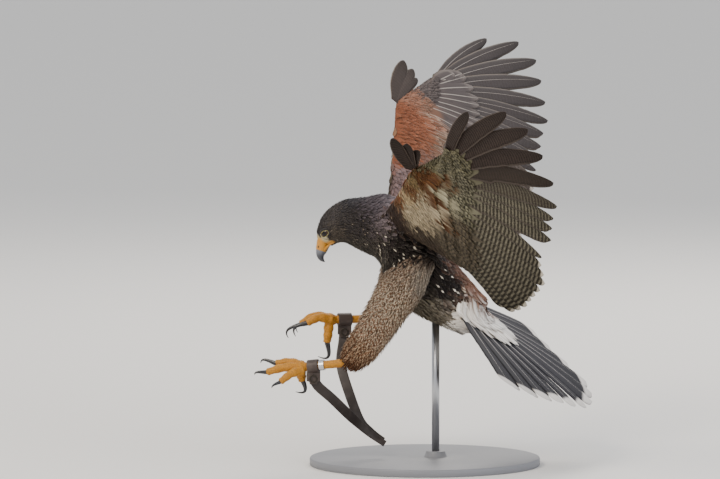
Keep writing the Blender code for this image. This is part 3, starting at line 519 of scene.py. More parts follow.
# Plumage zones: centre, reach, ground colour, edge colour, and shares of edge, spot and bar.
# Body centres are (x, |y|, z) in the row's frame; wing centres are along the span and the chord.
BODY_ZONES = (
    ((-137, 0, 318), 16, "#3f3b3b", "#6b645d", (0.35, 0.0, 0.0)),
    ((-112, 0, 331), 18, "#3d3a3a", "#7d7060", (0.5, 0.0, 0.0)),
    ((-115, 20, 300), 14, "#3c3734", "#9a8b76", (0.6, 0.0, 0.0)),
    ((-95, 0, 347), 20, "#383639", "#5f5957", (0.3, 0.0, 0.0)),
    ((-88, 24, 318), 20, "#2f2c2d", "#857868", (0.3, 0.1, 0.0)),
    ((-118, 5, 284), 10, "#4a443d", "#a3957f", (0.6, 0.2, 0.0)),
    ((-88, 12, 278), 20, "#33302d", "#c3b6a2", (0.3, 0.35, 0.0)),
    ((-60, 15, 262), 24, "#2e2a27", "#cbbfab", (0.3, 0.45, 0.0)),
    ((-60, 10, 335), 25, "#4b4448", "#80757a", (0.35, 0.0, 0.0)),
    ((-30, 10, 326), 28, "#857678", "#bfaead", (0.6, 0.0, 0.0)),
    ((5, 10, 292), 26, "#4d4240", "#84726a", (0.5, 0.0, 0.0)),
    ((45, 10, 255), 24, "#5a4036", "#8d6a55", (0.45, 0.0, 0.0)),
    ((75, 12, 218), 24, "#74503f", "#a58570", (0.5, 0.0, 0.15)),
    ((92, 10, 185), 14, "#ddd6cd", "#efe9e2", (0.4, 0.0, 0.0)),
    # Painted shade: the three flank zones below have a near-black ground that stands for the shade in the gap
    # between wing and body; their pale spots are the plumage's own
    ((-30, 36, 285), 24, "#1d1817", "#c9bfae", (0.1, 0.3, 0.0)),
    ((0, 36, 262), 24, "#151110", "#d3cabb", (0.05, 0.35, 0.0)),
    ((28, 32, 238), 20, "#191413", "#d3cabb", (0.05, 0.35, 0.0)),
    ((55, 30, 212), 14, "#3a2c27", "#cbbca6", (0.2, 0.2, 0.0)),
    ((-48, 34, 288), 13, "#302b29", "#cbbfab", (0.3, 0.8, 0.0)),
    ((-44, 32, 262), 12, "#2d2826", "#cbbfab", (0.3, 0.9, 0.0)),
    ((-25, 12, 216), 20, "#5b5244", "#332c25", (0.2, 0.2, 0.5)),
    ((5, 16, 200), 20, "#6f6757", "#3a332b", (0.2, 0.1, 0.55)),
    ((32, 12, 186), 18, "#8b8270", "#4a4036", (0.2, 0.1, 0.4)),
    ((52, 30, 190), 13, "#c9c1b5", "#e2dcd3", (0.3, 0.0, 0.0)),
)
HEAD_SIDE = "#35302e"
TAIL_COVERT_ZONES = (
    ((45, 20, 236), 20, "#6c4a3b", "#96725c", (0.5, 0.0, 0.0)),
    ((62, 2, 221), 20, "#6c4a3b", "#96725c", (0.5, 0.0, 0.0)),
    ((82, 16, 213), 18, "#74503f", "#a07c66", (0.5, 0.0, 0.0)),
    ((97, 30, 206), 12, "#7e5b48", "#b39079", (0.5, 0.0, 0.0)),
    ((40, -25, 192), 18, "#e0dad2", "#f0ece6", (0.4, 0.0, 0.0)),
    ((62, -8, 186), 18, "#e4dfd8", "#f3efe9", (0.4, 0.0, 0.0)),
    ((84, 12, 180), 18, "#e4dfd8", "#f3efe9", (0.4, 0.0, 0.0)),
    ((100, 28, 176), 14, "#e4dfd8", "#f0ece6", (0.4, 0.0, 0.0)),
    ((90, 0, 140), 30, "#e0dad2", "#6a5c50", (0.0, 0.08, 0.0)),
)
BOOT_ZONES = (
    ((-8, 26, 276), 18, "#2b2421", "#6e6055", (0.2, 0.1, 0.1)),
    ((-10, 52, 238), 13, "#7b7165", "#bdb2a4", (0.4, 0.1, 0.3)),
    ((-36, 46, 246), 18, "#674f40", "#bfb09b", (0.45, 0.1, 0.4)),
    ((-54, 56, 213), 22, "#694a35", "#d6c8b1", (0.6, 0.05, 0.5)),
    ((-68, 58, 185), 20, "#68432e", "#d6c4aa", (0.6, 0.05, 0.5)),
    ((-88, 58, 158), 16, "#5d3a26", "#c6ab8b", (0.55, 0.05, 0.4)),
    ((-100, 56, 136), 13, "#4f3423", "#7b5b42", (0.15, 0.0, 0.0)),
)
UPPER_WING_ZONES = (
    ((-110, 20), 40, "#7c4c38", "#ad775d", (0.45, 0.0, 0.0)),
    ((-60, 35), 40, "#85513a", "#b58365", (0.45, 0.0, 0.0)),
    ((-15, 30), 34, "#845039", "#b58468", (0.45, 0.0, 0.0)),
    ((-60, -8), 25, "#955a41", "#b98466", (0.3, 0.0, 0.0)),
    ((20, -2), 22, "#8a5d48", "#bb9880", (0.4, 0.0, 0.0)),
    ((35, 28), 20, "#7d5a48", "#bfa58f", (0.45, 0.0, 0.0)),
    ((75, 18), 26, "#524947", "#877c75", (0.3, 0.0, 0.0)),
    ((70, 60), 34, "#534a48", "#8a7e77", (0.3, 0.0, 0.0)),
    ((120, 40), 34, "#4d4645", "#877c75", (0.3, 0.0, 0.0)),
    ((0, 90), 30, "#6f5849", "#a98d78", (0.55, 0.0, 0.0)),
    ((-50, 105), 34, "#6a5148", "#a3836e", (0.5, 0.0, 0.0)),
    ((-115, 80), 34, "#766260", "#a8958f", (0.5, 0.0, 0.0)),
    ((-138, 5), 24, "#655759", "#9c8d90", (0.5, 0.0, 0.0)),
)
UNDER_WING_ZONES = (
    ((-135, 25), 24, "#352b27", "#8c7a66", (0.2, 0.2, 0.0)),
    ((-105, 5), 20, "#5b4030", "#b39c7c", (0.4, 0.1, 0.1)),
    ((-90, 18), 13, "#5a3620", "#a38c69", (0.5, 0.1, 0.1)),
    ((-58, 22), 11, "#9a8667", "#bda680", (0.5, 0.1, 0.1)),
    ((-35, 14), 12, "#58351e", "#a8926d", (0.5, 0.1, 0.1)),
    ((-12, -4), 13, "#6d5a3c", "#a08f6c", (0.4, 0.0, 0.0)),
    ((-76, 47), 21, "#9f9076", "#beb092", (0.4, 0.0, 0.1)),
    ((-26, 47), 17, "#a3947a", "#c4b79c", (0.4, 0.0, 0.1)),
    ((17, 8), 11, "#4f3119", "#7a5531", (0.35, 0.0, 0.0)),
    ((45, 10), 11, "#4d2f1a", "#7a5836", (0.35, 0.0, 0.0)),
    ((72, 26), 10, "#4a2d19", "#75593a", (0.35, 0.1, 0.0)),
    ((8, 38), 9, "#4c2f1a", "#755335", (0.35, 0.0, 0.0)),
    ((-20, 76), 11, "#482c19", "#74573a", (0.35, 0.0, 0.1)),
    ((36, 46), 12, "#8f8970", "#bab099", (0.35, 0.1, 0.0)),
    ((60, -10), 14, "#5a5541", "#8c8466", (0.2, 0.3, 0.3)),
    ((5, 96), 18, "#5c5344", "#2a2620", (0.1, 0.2, 0.6)),
    ((-50, 98), 20, "#5c5345", "#2b2721", (0.1, 0.2, 0.6)),
    ((-95, 75), 20, "#4e443a", "#2f2822", (0.2, 0.2, 0.4)),
    ((101, -2), 22, "#68634f", "#2a2820", (0.1, 0.5, 0.55)),
    ((100, 46), 28, "#736e5b", "#2a2820", (0.1, 0.5, 0.6)),
    ((145, 30), 28, "#69644f", "#2a2820", (0.1, 0.5, 0.55)),
    ((55, 66), 20, "#858069", "#26231c", (0.1, 0.4, 0.6)),
    ((55, 100), 20, "#6b6652", "#24211b", (0.1, 0.4, 0.65)),
    ((150, 110), 20, "#7c6f63", "#9a8d80", (0.4, 0.0, 0.0)),
)


def zone_values(points, zones):
    """Ground colour, edge colour and the three shares, as nine columns."""
    anchors = np.array([z[0] for z in zones], float)
    radii = [z[1] for z in zones]
    values = [linear(z[2]) + linear(z[3]) + z[4] for z in zones]
    return mixed(points, anchors, values, 6, radii)


def folded(points):
    """Millimetres with the sides of the body laid on one another."""
    p = np.array(points) / MM
    p[:, 1] = np.abs(p[:, 1])
    return p


# Lines along which the small feathers of the body lie, seen from the side
BREAST = ((-124, 284), (-106, 277), (-82, 270), (-58, 256), (-42, 234), (-22, 212), (2, 197), (38, 182),
          (66, 176), (92, 166))


def lie_samples(lines):
    """Points along lines and the direction at each."""
    places = []
    ways = []
    for line in lines:
        fine = curve_through(line, 4)
        places.append(fine)
        ways.append(runs(fine))
    return np.vstack(places), np.vstack(ways)


def body_lie(points):
    flat = [[(x, 0.0, z) for x, z in line] for line in (SPINE, BREAST)]
    places, ways = lie_samples(flat)
    p = folded(points)
    p[:, 1] = 0
    return unit(mixed(p, places, ways, 4, np.full(len(places), 8.0)))


def boot_lie(points, side):
    places, ways = lie_samples([BOOTS[side]])
    return unit(mixed(np.asarray(points) / MM, places, ways, 4, np.full(len(places), 8.0)))


def wing_lie(points, side):
    axes = WingFrame(side)
    places = []
    ways = []
    for feather in wing_feathers(side):
        for share in (0.0, 0.35, 0.7, 1.0):
            places.append(axes.flat(feather["base"] + feather["along"] * feather["cover"] * share))
            ways.append(feather["along"])
    for chord in (0, 40, 80):
        places.append(np.array((-130.0, chord)))
        ways.append(axes.direction(96))
    return unit(mixed(axes.flat(points), places, ways, 4, np.full(len(places), 12.0)))


GROUPS = {
    "head": ("head",), "neck": ("neck",), "trunk": ("trunk",), "rump": ("rump",),
    "tail_coverts": ("tail_coverts",),
    "boot_left": ("thigh_left",), "boot_right": ("thigh_right",),
    "wing_left": ("wing_hand_left", "wing_arm_left"), "wing_right": ("wing_hand_right", "wing_arm_right"),
}


class Flesh:
    """The feathered body as one closed surface, and what each of its places belongs to."""

    def __init__(self):
        self.groups = list(GROUPS)
        nodes = [(node, g) for g, members in enumerate(GROUPS.values()) for node in members]
        points, tris, owners = node_mesh([n for n, _ in nodes])
        owner_group = np.array([g for _, g in nodes])
        self.cad_group = owner_group[owners]
        self.cad = bvh_of(points, tris)
        self.points, self.faces = self.one_surface(points, tris)
        self.surface = bvh_of(self.points, self.faces)
        self.normals = vertex_normals(self.points, self.faces)
        self.group = np.array([self.cad_group[self.cad.find_nearest(Vector(p))[2]] for p in self.points])

    @staticmethod
    def one_surface(points, tris):
        """The nodes grown a little, joined on a fine grid and smoothed."""
        grown = points + vertex_normals(points, tris) * 0.5 * MM
        mesh = bpy.data.meshes.new("flesh")
        mesh.from_pydata([tuple(p) for p in grown], [], [tuple(int(i) for i in t) for t in tris])
        obj = bpy.data.objects.new("flesh", mesh)
        bpy.context.scene.collection.objects.link(obj)
        grid = obj.modifiers.new("grid", "REMESH")
        grid.mode = "VOXEL"
        grid.voxel_size = sizes().skin_grid
        soft = obj.modifiers.new("soft", "SMOOTH")
        soft.factor = 0.5
        soft.iterations = 6
        baked = obj.evaluated_get(bpy.context.evaluated_depsgraph_get()).to_mesh()
        co = np.empty(len(baked.vertices) * 3, np.float32)
        baked.vertices.foreach_get("co", co)
        baked.calc_loop_triangles()
        tri = np.empty(len(baked.loop_triangles) * 3, np.int32)
        baked.loop_triangles.foreach_get("vertices", tri)
        obj.evaluated_get(bpy.context.evaluated_depsgraph_get()).to_mesh_clear()
        bpy.data.objects.remove(obj)
        bpy.data.meshes.remove(mesh)
        return co.reshape(-1, 3).astype(float), tri.reshape(-1, 3)

    def values(self, points, normals, group):
        """Zone values at points that belong to one group."""
        name = self.groups[group]
        if name.startswith("wing_"):
            axes = WingFrame(name[5:])
            flat = axes.flat(points)
            upper = zone_values(flat, UPPER_WING_ZONES)
            under = zone_values(flat, UNDER_WING_ZONES)
            share = smooth_step(-0.15, 0.25, normals @ axes.normal)[:, None]
            return under + (upper - under) * share
        if name.startswith("boot_"):
            return zone_values(folded(points), BOOT_ZONES)
        if name == "tail_coverts":
            return zone_values(np.asarray(points) / MM, TAIL_COVERT_ZONES)
        values = zone_values(folded(points), BODY_ZONES)
        if name == "rump":
            reach = (np.asarray(points) / MM - TAIL_ROOT) @ unit(TAIL_AXIS)
            share = smooth_step(-2, 8, reach)[:, None]
            values = values * (1 - share) + zone_values(np.asarray(points) / MM, TAIL_COVERT_ZONES) * share
        return values

    def lie(self, points, group):
        name = self.groups[group]
        if name.startswith("wing_"):
            return wing_lie(points, name[5:])
        if name.startswith("boot_"):
            return boot_lie(points, name[5:])
        if name == "tail_coverts":
            return unit(np.asarray(points) - np.array(TAIL_ROOT) * MM)
        return body_lie(points)


def vertex_normals(points, tris):
    corner = points[tris]
    face = np.cross(corner[:, 1] - corner[:, 0], corner[:, 2] - corner[:, 0])
    out = np.zeros_like(points)
    for k in range(3):
        np.add.at(out, tris[:, k], face)
    return unit(out)


# Depth of the coat over the skin, by group; the trunk's is a property
COAT_DEPTHS = {"head": 1.3, "neck": 2.6, "rump": 4.0, "tail_coverts": 2.2, "boot": 3.4, "wing": 1.5}


def coat_depth(group_name):
    if group_name == "trunk":
        return sizes().coat_depth
    return COAT_DEPTHS[group_name.split("_")[0] if group_name != "tail_coverts" else group_name] * MM


def bake_map(points, normals, span, seams):
    """Places on an unwrap of the skin: each point on the side of a cube that it faces most.

    Each of six squares, three across and two down, holds one side. The seams list gives the
    six facing directions, and span is the lowest and highest corner of the skin's box.
    """
    facing = np.argmax(normals @ seams.T, 1)
    low, high = span
    local = (points - low) / (high - low).max()
    axis_a = np.array([1, 1, 0, 0, 0, 0])[facing]
    axis_b = np.array([2, 2, 2, 2, 1, 1])[facing]
    rows = np.arange(len(points))
    u = (facing % 3 + 0.03 + 0.94 * local[rows, axis_a]) / 3
    v = (facing // 3 + 0.03 + 0.94 * local[rows, axis_b]) / 2
    return np.stack([u, v], 1), facing


CUBE_SIDES = np.array(((1, 0, 0), (-1, 0, 0), (0, 1, 0), (0, -1, 0), (0, 0, 1), (0, 0, -1)), float)

# Bare skin of the face: centres (x, |y|, z) and reach; the eyes' own openings are bare too
BARE_FACE = (((-136, 2, 295), 8.0), ((-130, 8, 294), 7.5), ((-123, 9, 290), 6.0))
EYE_OPENING = 8.9

# Tufts by place: centre, reach, then length, width and distance between roots in mm, how round
# the tip is from 0 to 1, and how far the tip stands off in mm
BODY_TUFTS = (
    ((-135, 5, 312), 11, (4.2, 2.2, 1.3, 0.5, 0.1)), ((-137, 0, 300), 9, (3.0, 1.6, 1.05, 0.3, 0.1)),
    ((-112, 0, 331), 15, (6.2, 2.8, 1.6, 0.5, 0.2)), ((-115, 20, 300), 12, (5.0, 2.2, 1.35, 0.3, 0.2)),
    ((-95, 0, 347), 18, (9.0, 3.8, 2.1, 0.5, 0.3)), ((-88, 24, 318), 18, (8.5, 3.5, 1.95, 0.4, 0.3)),
    ((-118, 5, 284), 9, (4.4, 1.8, 1.25, 0.0, 0.3)), ((-88, 12, 278), 18, (10.5, 3.4, 2.1, 0.0, 0.6)),
    ((-60, 15, 262), 22, (15.0, 4.6, 2.6, 0.0, 1.0)), ((-30, 10, 322), 26, (20.0, 10.0, 4.0, 1.0, 0.4)),
    ((5, 10, 292), 26, (22.0, 11.0, 4.2, 1.0, 0.4)), ((45, 10, 255), 24, (23.0, 10.0, 4.2, 0.8, 0.5)),
    ((75, 12, 218), 22, (22.0, 8.0, 3.8, 0.4, 0.8)), ((-10, 36, 270), 30, (18.0, 6.0, 3.1, 0.3, 0.8)),
    ((-25, 12, 216), 20, (17.0, 4.6, 2.6, 0.0, 1.4)), ((20, 14, 195), 24, (19.0, 5.0, 2.8, 0.0, 1.5)),
    ((50, 25, 195), 14, (20.0, 7.0, 3.4, 0.3, 1.0)),
)
TAIL_COVERT_TUFTS = (((80, 20, 150), 30, (16.0, 8.0, 4.5, 0.6, 0.0)),
                     ((60, 25, 190), 20, (16.0, 8.0, 4.0, 0.6, 0.0)))
BOOT_TUFTS = (
    ((-10, 30, 270), 22, (18.0, 4.0, 2.7, 0.0, 1.4)), ((-35, 50, 235), 24, (17.0, 3.2, 2.1, 0.0, 1.8)),
    ((-60, 58, 195), 22, (16.0, 2.8, 1.9, 0.0, 2.2)), ((-85, 58, 160), 18, (18.0, 2.4, 1.75, 0.0, 3.0)),
    ((-103, 56, 138), 12, (12.0, 2.2, 1.7, 0.0, 1.8)),
)
WING_TUFTS = (
    ((-60, 30), 60, (14.0, 6.5, 3.3, 0.5, 0.4)), ((-10, 20), 40, (11.0, 5.6, 3.0, 0.6, 0.3)),
    ((60, 10), 40, (10.0, 5.5, 3.0, 0.7, 0.3)), ((100, 60), 40, (13.0, 7.0, 3.4, 0.8, 0.3)),
    ((-60, -8), 20, (8.0, 4.4, 2.4, 0.4, 0.2)), ((40, -8), 20, (8.0, 4.4, 2.4, 0.5, 0.2)),
    ((-110, 80), 40, (14.0, 6.5, 3.3, 0.5, 0.4)),
)
TUFT_ROWS = np.array((0.0, 0.26, 0.5, 0.72, 0.89, 1.0))
ROUND_TIP = np.array((0.5, 0.85, 1.0, 0.96, 0.7, 0.24))
POINTED_TIP = np.array((0.45, 0.9, 1.0, 0.82, 0.5, 0.08))
TUFT_COLUMNS = 3
TUFT_CAMBER = 0.15


def tuft_sizes(flesh, group, points):
    """Length, width, root distance, roundness and flare of tufts at points, lengths in metres."""
    name = flesh.groups[group]
    if name.startswith("wing_"):
        zones = WING_TUFTS
        places = WingFrame(name[5:]).flat(points)
    else:
        zones = {"boot": BOOT_TUFTS, "tail": TAIL_COVERT_TUFTS}.get(name.split("_")[0], BODY_TUFTS)
        places = folded(points)
    values = mixed(places, [z[0] for z in zones], [z[2] for z in zones], 4, [z[1] for z in zones])
    return values * np.array((MM, MM, MM, 1.0, MM))


def bare_share(points):
    """How far inside the bare skin of the face points lie, 0 outside to 1 inside."""
    p = folded(points)
    out = np.zeros(len(p))
    for centre, reach in BARE_FACE:
        away = np.linalg.norm(p - np.array(centre), axis=1)
        out = np.maximum(out, 1 - smooth_step(reach * 0.85, reach * 1.15, away))
    return out


def eye_distance(points):
    return np.linalg.norm(folded(points) - np.array(EYE_CENTRE), axis=1) * MM


def skin_depths(flesh):
    """How far under the coat's surface the skin lies at each of its points."""
    wanted = np.array([coat_depth(g) for g in flesh.groups])[flesh.group]
    bare = bare_share(flesh.points)
    wanted = wanted * (1 - bare) + 0.2 * MM * bare
    for _ in range(6):
        wanted = spread(wanted, flesh.faces)
    out = np.empty(len(wanted))
    for i, (p, n) in enumerate(zip(flesh.points, flesh.normals)):
        inward = Vector(-n)
        hit = flesh.surface.ray_cast(Vector(p) + inward * 0.0004, inward, 0.03)
        room = hit[3] if hit[0] is not None else 0.03
        out[i] = min(wanted[i], 0.3 * room)
    return spread(spread(out, flesh.faces), flesh.faces)


def spread(values, faces):
    """Values at points averaged with those of their neighbours."""
    values = values.astype(float)
    total = values.copy()
    count = np.ones(len(values))
    for a, b in ((0, 1), (1, 2), (2, 0)):
        np.add.at(total, faces[:, a], values[faces[:, b]])
        np.add.at(total, faces[:, b], values[faces[:, a]])
        np.add.at(count, faces[:, a], 1)
        np.add.at(count, faces[:, b], 1)
    return total / count


def scattered_roots(flesh, group, rng):
    """Roots on a group's part of the surface, no nearer to each other than the tufts' distance."""
    chosen = np.flatnonzero(flesh.group[flesh.faces[:, 0]] == group)
    corner = flesh.points[flesh.faces[chosen]]
    centre = corner.mean(1)
    area = 0.5 * np.linalg.norm(np.cross(corner[:, 1] - corner[:, 0], corner[:, 2] - corner[:, 0]), axis=1)
    distance = tuft_sizes(flesh, group, centre)[:, 2]
    weight = area / distance ** 2
    count = int(6 * weight.sum())
    picked = rng.choice(len(chosen), count, p=weight / weight.sum())
    a = np.sqrt(rng.random(count))[:, None]
    b = rng.random(count)[:, None]
    c = corner[picked]
    points = c[:, 0] * (1 - a) + c[:, 1] * (a * (1 - b)) + c[:, 2] * (a * b)
    cell = distance.max()
    keys = np.floor(points / cell).astype(int)
    taken = {}
    kept = []
    for i in range(count):
        key = tuple(keys[i])
        limit = distance[picked[i]] ** 2
        p = points[i]
        near = False
        for dx in (-1, 0, 1):
            for dy in (-1, 0, 1):
                for dz in (-1, 0, 1):
                    for j in taken.get((key[0] + dx, key[1] + dy, key[2] + dz), ()):
                        q = points[j]
                        if (p[0] - q[0]) ** 2 + (p[1] - q[1]) ** 2 + (p[2] - q[2]) ** 2 < limit:
                            near = True
                            break
                    if near:
                        break
                if near:
                    break
            if near:
                break
        if not near:
            taken.setdefault(key, []).append(i)
            kept.append(i)
    return points[kept], chosen[picked[kept]]


def traced_tufts(surface, roots, normals, ways, lengths):
    """Middle lines of tufts that lie along the surface, with the normal at each point."""
    count = len(roots)
    rows = len(TUFT_ROWS)
    middles = np.empty((count, rows, 3))
    ups = np.empty((count, rows, 3))
    steps = np.diff(TUFT_ROWS)
    for i in range(count):
        p = Vector(roots[i])
        n = Vector(normals[i])
        way = Vector(ways[i])
        middles[i, 0] = p
        ups[i, 0] = n
        for k, step in enumerate(steps):
            way = way - n * way.dot(n)
            way.normalize()
            target = p + way * (lengths[i] * step)
            hit, hit_normal, _, _ = surface.find_nearest(target)
            if hit_normal.dot(n) > 0.35:
                p = hit
                n = (n + hit_normal * 2).normalized()
            else:
                p = target
            middles[i, k + 1] = p
            ups[i, k + 1] = n
    return middles, ups


def vane_faces(count, rows, columns, ring):
    """Quads, end triangles and whether each face is on the underside, of many closed thin vanes."""
    k = np.arange(ring)
    n = (k + 1) % ring
    r = np.arange(rows - 1)[:, None] * ring
    quads = np.stack([r + k, r + n, r + ring + n, r + ring + k], -1).reshape(-1, 4)
    fan = np.arange(1, ring - 1)
    root = np.stack([np.zeros_like(fan), fan + 1, fan], -1)
    tip = np.stack([np.zeros_like(fan), fan, fan + 1], -1) + (rows - 1) * ring
    tris = np.vstack([root, tip])
    under = np.tile(k >= columns - 1, rows - 1)
    start = (np.arange(count) * rows * ring)[:, None, None]
    return ((quads[None] + start).reshape(-1, 4), (tris[None] + start).reshape(-1, 3),
            np.tile(under, count), np.tile(np.zeros(len(tris), bool), count))


def vane_points(middles, sides, ups, widths_left, widths_right, thickness, camber, columns):
    """Points of closed thin vanes, with how far across and along each point is.

    Middles, sides and ups are (vanes, rows, 3), widths (vanes, rows). Left is the +side edge.
    Without a thickness the underside is flat between the edges of the cambered top.
    """
    count, rows = middles.shape[:2]
    across = np.linspace(1, -1, columns)
    every = across
    if thickness is not None:
        every = np.concatenate([across, across[1:-1][::-1]])
    width = np.where(every > 0, widths_left[..., None], widths_right[..., None]) * every
    drop = camber * np.abs(width) * np.abs(every)
    if thickness is not None:
        depth = np.zeros((1, 1, len(every)))
        depth[..., columns:] = 1
        drop = drop + depth * thickness[..., None]
    points = middles[:, :, None] + sides[:, :, None] * width[..., None] - ups[:, :, None] * drop[..., None]
    along = np.linspace(0, 1, rows)
    across_all = np.broadcast_to(every, (count, rows, len(every)))
    along_all = np.broadcast_to(along[None, :, None], (count, rows, len(every)))
    return points.reshape(-1, 3), across_all.reshape(-1), along_all.reshape(-1)


def outward(points, quads, tris, ups, top_face):
    """Faces turned so that a top face of the first vane, given by number, faces its up direction."""
    a, b, c = points[quads[top_face][:3]]
    if np.dot(np.cross(b - a, c - a), ups) < 0:
        return quads[:, ::-1], tris[:, ::-1]
    return quads, tris


TUFT_PATCH = 0.003
COLOUR_SCATTER = 5.5
SPOT_CHANCE = 0.24


def tuft_piece(name, flesh, group, keep, mat, rng):
    """Overlapping tufts over one group's part of the surface, as one mesh piece."""
    roots, faces = scattered_roots(flesh, group, rng)
    normals = unit(flesh.normals[flesh.faces[faces]].mean(1))
    chosen = keep(roots, normals)
    roots, faces, normals = roots[chosen], faces[chosen], normals[chosen]
    size = tuft_sizes(flesh, group, roots)
    count = len(roots)
    ways = flesh.lie(roots, group)
    sideways = unit(np.cross(normals, ways))
    ways = unit(ways + sideways * rng.normal(0, 0.11, (count, 1)))
    lengths = size[:, 0] * rng.uniform(0.85, 1.15, count)
    middles, ups = traced_tufts(flesh.surface, roots, normals, ways, lengths)
    depth = flesh.depths[flesh.faces[faces]].mean(1)
    t = TUFT_ROWS[None]
    flare = rng.uniform(-0.2, 0.35, (count, 1)) * MM + size[:, 4:5] * rng.uniform(0, 1.6, (count, 1))
    lift = -depth[:, None] * (1 - t) ** 1.15 + flare * t ** 2
    middles = middles + ups * lift[..., None]
    along = np.concatenate([middles[:, 1:] - middles[:, :-1], middles[:, -1:] - middles[:, -2:-1]], 1)
    sides = unit(np.cross(ups, along))
    lifted = unit(np.cross(along, sides))
    shape = POINTED_TIP + (ROUND_TIP - POINTED_TIP) * size[:, 3:4]
    widths = size[:, 1:2] * 0.5 * shape * rng.uniform(0.85, 1.15, (count, 1))
    uneven = rng.uniform(0.85, 1.15, (count, 1))
    points, across, at = vane_points(middles, sides, lifted, widths * uneven, widths * (2 - uneven),
                                     None, TUFT_CAMBER, TUFT_COLUMNS)
    quads, tris, _, _ = vane_faces(count, len(TUFT_ROWS), TUFT_COLUMNS, TUFT_COLUMNS)
    quads, tris = outward(points, quads, tris, lifted[0, 2], 2 * TUFT_COLUMNS)
    blurred = middles[:, 4] + rng.normal(0, COLOUR_SCATTER * MM, (count, 3))
    values = flesh.values(blurred, normals, group)
    per = len(points) // count
    tone = np.clip(rng.normal(1.0, 0.14, count), 0.7, 1.4)
    ground = np.repeat(values[:, :3] * tone[:, None], per, 0)
    edge = np.repeat(values[:, 3:6] * tone[:, None], per, 0)
    shares = np.repeat(values[:, 6:9], per, 0)
    shares[:, 1] = np.repeat((rng.random(count) < values[:, 7] * SPOT_CHANCE).astype(float), per)
    uv, _ = bake_map(roots, normals, (roots.min(0), roots.max(0)), CUBE_SIDES)
    uv = np.repeat(uv, per, 0) + np.stack([across, at - 0.5], 1) * TUFT_PATCH / 2
    corners = np.concatenate([quads.ravel(), tris.ravel()])
    vane = np.stack([across, at, np.repeat(lengths, per) * at, shares[:, 0]], 1)
    shares[:, 0] = 0.0
    piece = make_piece(name, points, (quads, tris), [mat], corner_uvs={"OFBake": uv[corners]},
                       attributes={"ground": ground, "edge": edge, "vane": vane, "marks": shares})
    return piece

FLIGHT_COLUMNS = 7
FLIGHT_ROWS = 30
FEATHER_STARTS = {"primary": 0.35, "secondary": 0.35, "thumb": 0.35, "tail": 0.78}
SHAFT_SHIFT = 0.28
STACK_STEP = 0.05
BOW_MM = {"primary": 5.0, "secondary": 3.0, "tail": 0.0, "thumb": 4.0}
TIP_ROUNDING = {"primary": 0.46, "secondary": 0.22, "tail": 0.09, "thumb": 0.5}
TWISTS = {"primary": 6.0, "secondary": 6.0, "tail": 0.6, "thumb": 2.0}


def outer_side(feathers, i, normal):
    """Sideways direction of a feather towards the one before it in its fan."""
    middle = [feather_middle(f, normal, np.array([f["length"] * 0.8]))[0] for f in feathers]
    side = unit(np.cross(normal, feathers[i]["along"]))
    towards = middle[i - 1] - middle[i] if i else middle[0] - middle[1]
    return side if side @ towards > 0 else -side


def flight_vanes(feathers, normal, rng, mirror_from=None):
    """Middle lines, sides and widths of the feathers of one fan, from the outermost in.

    From mirror_from on, the outer edge of a feather is the one towards the next feather.
    """
    rows = 1 - (1 - np.linspace(0, 1, FLIGHT_ROWS)) ** 1.25
    count = len(feathers)
    middles = np.empty((count, FLIGHT_ROWS, 3))
    sides = np.empty_like(middles)
    ups = np.empty_like(middles)
    outer = np.empty((count, FLIGHT_ROWS))
    inner = np.empty_like(outer)
    reaches = np.empty_like(outer)
    for i, f in enumerate(feathers):
        side = outer_side(feathers, i, normal)
        beyond = i + 1
        if mirror_from is not None and i >= mirror_from:
            side = -side
            beyond = i - 1
        start = f["cover"] * FEATHER_STARTS[f["kind"]]
        reach = start + (f["length"] - start) * rows
        line = feather_middle(f, normal, reach)
        bow = BOW_MM[f["kind"]] * MM * np.sin(math.pi * rows)
        twist = math.radians(TWISTS[f["kind"]])
        tilted = side * math.cos(twist) + normal * math.sin(twist)
        width = f["half_width"] * (0.72 + 0.28 * smooth_step(0, 0.35, rows))
        rounding = TIP_ROUNDING[f["kind"]]
        tip = np.clip((rows - (1 - rounding)) / rounding, 0, 1)
        taper = np.sqrt(np.clip(1 - tip ** 1.9, 0.0015, 1))
        wear = 1 - 0.05 * rng.random(FLIGHT_ROWS) * (rows > 0.3)
        out_width = width * (1 - SHAFT_SHIFT) * taper * wear
        in_width = width * (1 + SHAFT_SHIFT)
        if 0 <= beyond < count:
            other = feather_middle(feathers[beyond], normal, np.minimum(reach, feathers[beyond]["length"]))
            spacing = np.linalg.norm(other - line, axis=1)
            closed = 1 - smooth_step(f["notch"] - 0.08, f["notch"] + 0.06, rows)
            in_width = np.maximum(in_width, closed * np.minimum(spacing * 0.92, in_width * 1.5))
        in_width = in_width * taper * wear[::-1]
        stack = normal * STACK_STEP * MM * min(i, 2 * (mirror_from or 99) - 1 - i)
        middles[i] = line + stack + side * (SHAFT_SHIFT * width + bow - bow[-1])[:, None]
        sides[i] = tilted
        ups[i] = unit(np.cross(f["along"], tilted))
        if ups[i, 0] @ normal < 0:
            ups[i] = -ups[i]
        outer[i] = out_width
        inner[i] = in_width
        reaches[i] = reach
    return middles, sides, ups, outer, inner, reaches


